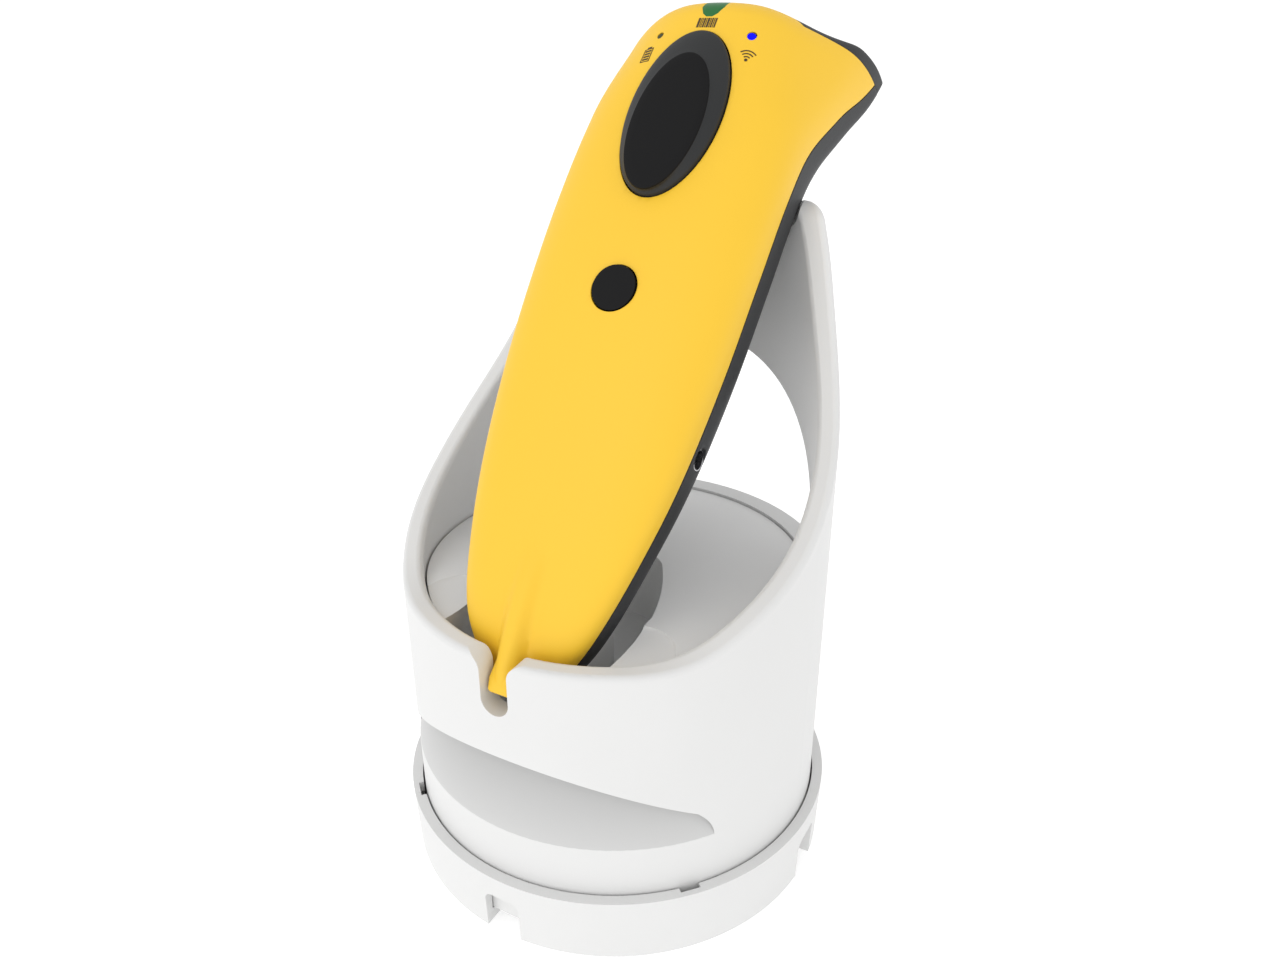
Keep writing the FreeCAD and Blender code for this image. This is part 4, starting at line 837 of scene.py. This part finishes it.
def arc_band(radius, width, start, end, steps=10):
    """A bent stroke round the origin, as four-sided pieces, so that each lies on the curved face."""
    turns = [math.radians(start + (end - start) * i / steps) for i in range(steps + 1)]
    outer, inner = ([(math.cos(a) * reach, math.sin(a) * reach) for a in turns]
                    for reach in (radius + width / 2, radius - width / 2))
    return [[outer[i], outer[i + 1], inner[i + 1], inner[i]] for i in range(steps)]


def battery_shapes():
    """A battery on end: its outline, its pole and four bars of charge."""
    half, foot, head, line = 0.85, -1.5, 1.2, OUTLINE_STROKE
    shapes = [
        bar(-half, foot, -half + line, head), bar(half - line, foot, half, head),
        bar(-half, foot, half, foot + line), bar(-half, head - line, half, head),
        bar(-0.4, head, 0.4, head + 0.3),
    ]
    shapes += [bar(-0.55, -1.15 + 0.55 * i, 0.55, -0.82 + 0.55 * i) for i in range(4)]
    return [[(x * BATTERY_SCALE, y * BATTERY_SCALE) for x, y in outline] for outline in shapes]


def barcode_shapes():
    """A row of thick and thin bars."""
    shapes, x = [], -1.9
    for width in BARCODE_WIDTHS:
        shapes.append(bar(x, -BARCODE_HALF_HEIGHT, x + width, BARCODE_HALF_HEIGHT))
        x += width + BARCODE_GAP
    return shapes


def radio_shapes():
    """A dot with three waves over it."""
    shapes = [ring_points(12, DOT_RADIUS, DOT_RADIUS)]
    for radius in WAVE_RADII:
        shapes += arc_band(radius, WAVE_STROKE, 45, 135)
    return shapes


def icons():
    """The three symbols printed beside the lights."""
    icon("battery_icon", battery_shapes(), BATTERY_PLACE)
    icon("barcode_icon", barcode_shapes(), BARCODE_PLACE)
    icon("radio_icon", radio_shapes(), RADIO_PLACE)


# ---------------------------------------------------------------- stage

FLOOR_HALF = 3.0
FLOOR_GLOW = 0.45
SKY_AT_HORIZON = 1.12
SKY_OVERHEAD = 0.68
PANEL_POWER = 0.45
PANEL_SPREAD = 70
PANEL_TURN = (62, 0, 2)
KEY_PLACE = (-0.5, -0.8, 0.9)
KEY_TARGET = (0, 0, 0.08)
KEY_SIZE = 0.7
KEY_POWER = 1.2
CAMERA_PLACE = (0.0878, -0.1494, 0.155)
CAMERA_TURN = (65.6, 0, 28.89)
CAMERA_LENS = 28.16
CAMERA_SENSOR = 36.0
WHITE = (1.0, 1.0, 1.0, 1.0)


def placed(name, data, place, turn):
    """An object in the scene at a place, turned by angles in degrees."""
    item = bpy.data.objects.new(name, data)
    item.location = place
    item.rotation_euler = [math.radians(angle) for angle in turn]
    bpy.context.scene.collection.objects.link(item)
    return item


def floor():
    """A pale plain floor that fades into the sky."""
    half = FLOOR_HALF
    corners = [(-half, -half, 0), (half, -half, 0), (half, half, 0), (-half, half, 0)]
    sheet = mesh_object("floor", corners, [(0, 1, 2, 3)], Matrix.Identity(4))
    paper = moulded("floor_paper", (0.80, 0.80, 0.80), 0.9, grain=0.02, spread=0.004, specular=0.0)
    shader = paper.node_tree.nodes["Principled BSDF"]
    socket(shader, "Emission Color", WHITE)
    socket(shader, "Emission Strength", FLOOR_GLOW)
    sheet.data.materials.append(paper)


def sky():
    """An even white surround, a little brighter at the horizon."""
    world = bpy.data.worlds.new("studio")
    world.use_nodes = True
    tree = world.node_tree
    background = tree.nodes["Background"]
    where = tree.nodes.new("ShaderNodeTexCoord")
    parts = tree.nodes.new("ShaderNodeSeparateXYZ")
    fall = tree.nodes.new("ShaderNodeMapRange")
    socket(fall, "To Min", SKY_AT_HORIZON)
    socket(fall, "To Max", SKY_OVERHEAD)
    tree.links.new(where.outputs["Generated"], parts.inputs["Vector"])
    tree.links.new(parts.outputs["Z"], fall.inputs["Value"])
    tree.links.new(fall.outputs["Result"], background.inputs["Strength"])
    socket(background, "Color", WHITE)
    bpy.context.scene.world = world


def lights():
    """A wide soft panel overhead and a small key light in front."""
    panel = bpy.data.lights.new("sky_panel", "SUN")
    panel.energy = PANEL_POWER
    panel.angle = math.radians(PANEL_SPREAD)
    placed("sky_panel", panel, (0, 0, 0), PANEL_TURN)
    key = bpy.data.lights.new("key", "AREA")
    key.shape = "DISK"
    key.size = KEY_SIZE
    key.energy = KEY_POWER
    lamp = placed("key", key, KEY_PLACE, (0, 0, 0))
    aim = Vector(KEY_TARGET) - Vector(KEY_PLACE)
    lamp.rotation_euler = aim.to_track_quat("-Z", "Y").to_euler()


def stage():
    """Floor, sky and lights, shown without a film look."""
    floor()
    sky()
    lights()
    bpy.context.scene.view_settings.view_transform = "Standard"


def camera():
    """The camera of the main view."""
    data = bpy.data.cameras.new("camera")
    data.lens = CAMERA_LENS
    data.sensor_width = CAMERA_SENSOR
    data.clip_start = 0.01
    bpy.context.scene.camera = placed("camera", data, CAMERA_PLACE, CAMERA_TURN)


coat_cad_nodes()
upper_shell()
lower_shell()
window_bezel()
scan_light()
small_lights()
scan_button()
icons()
stage()
camera()
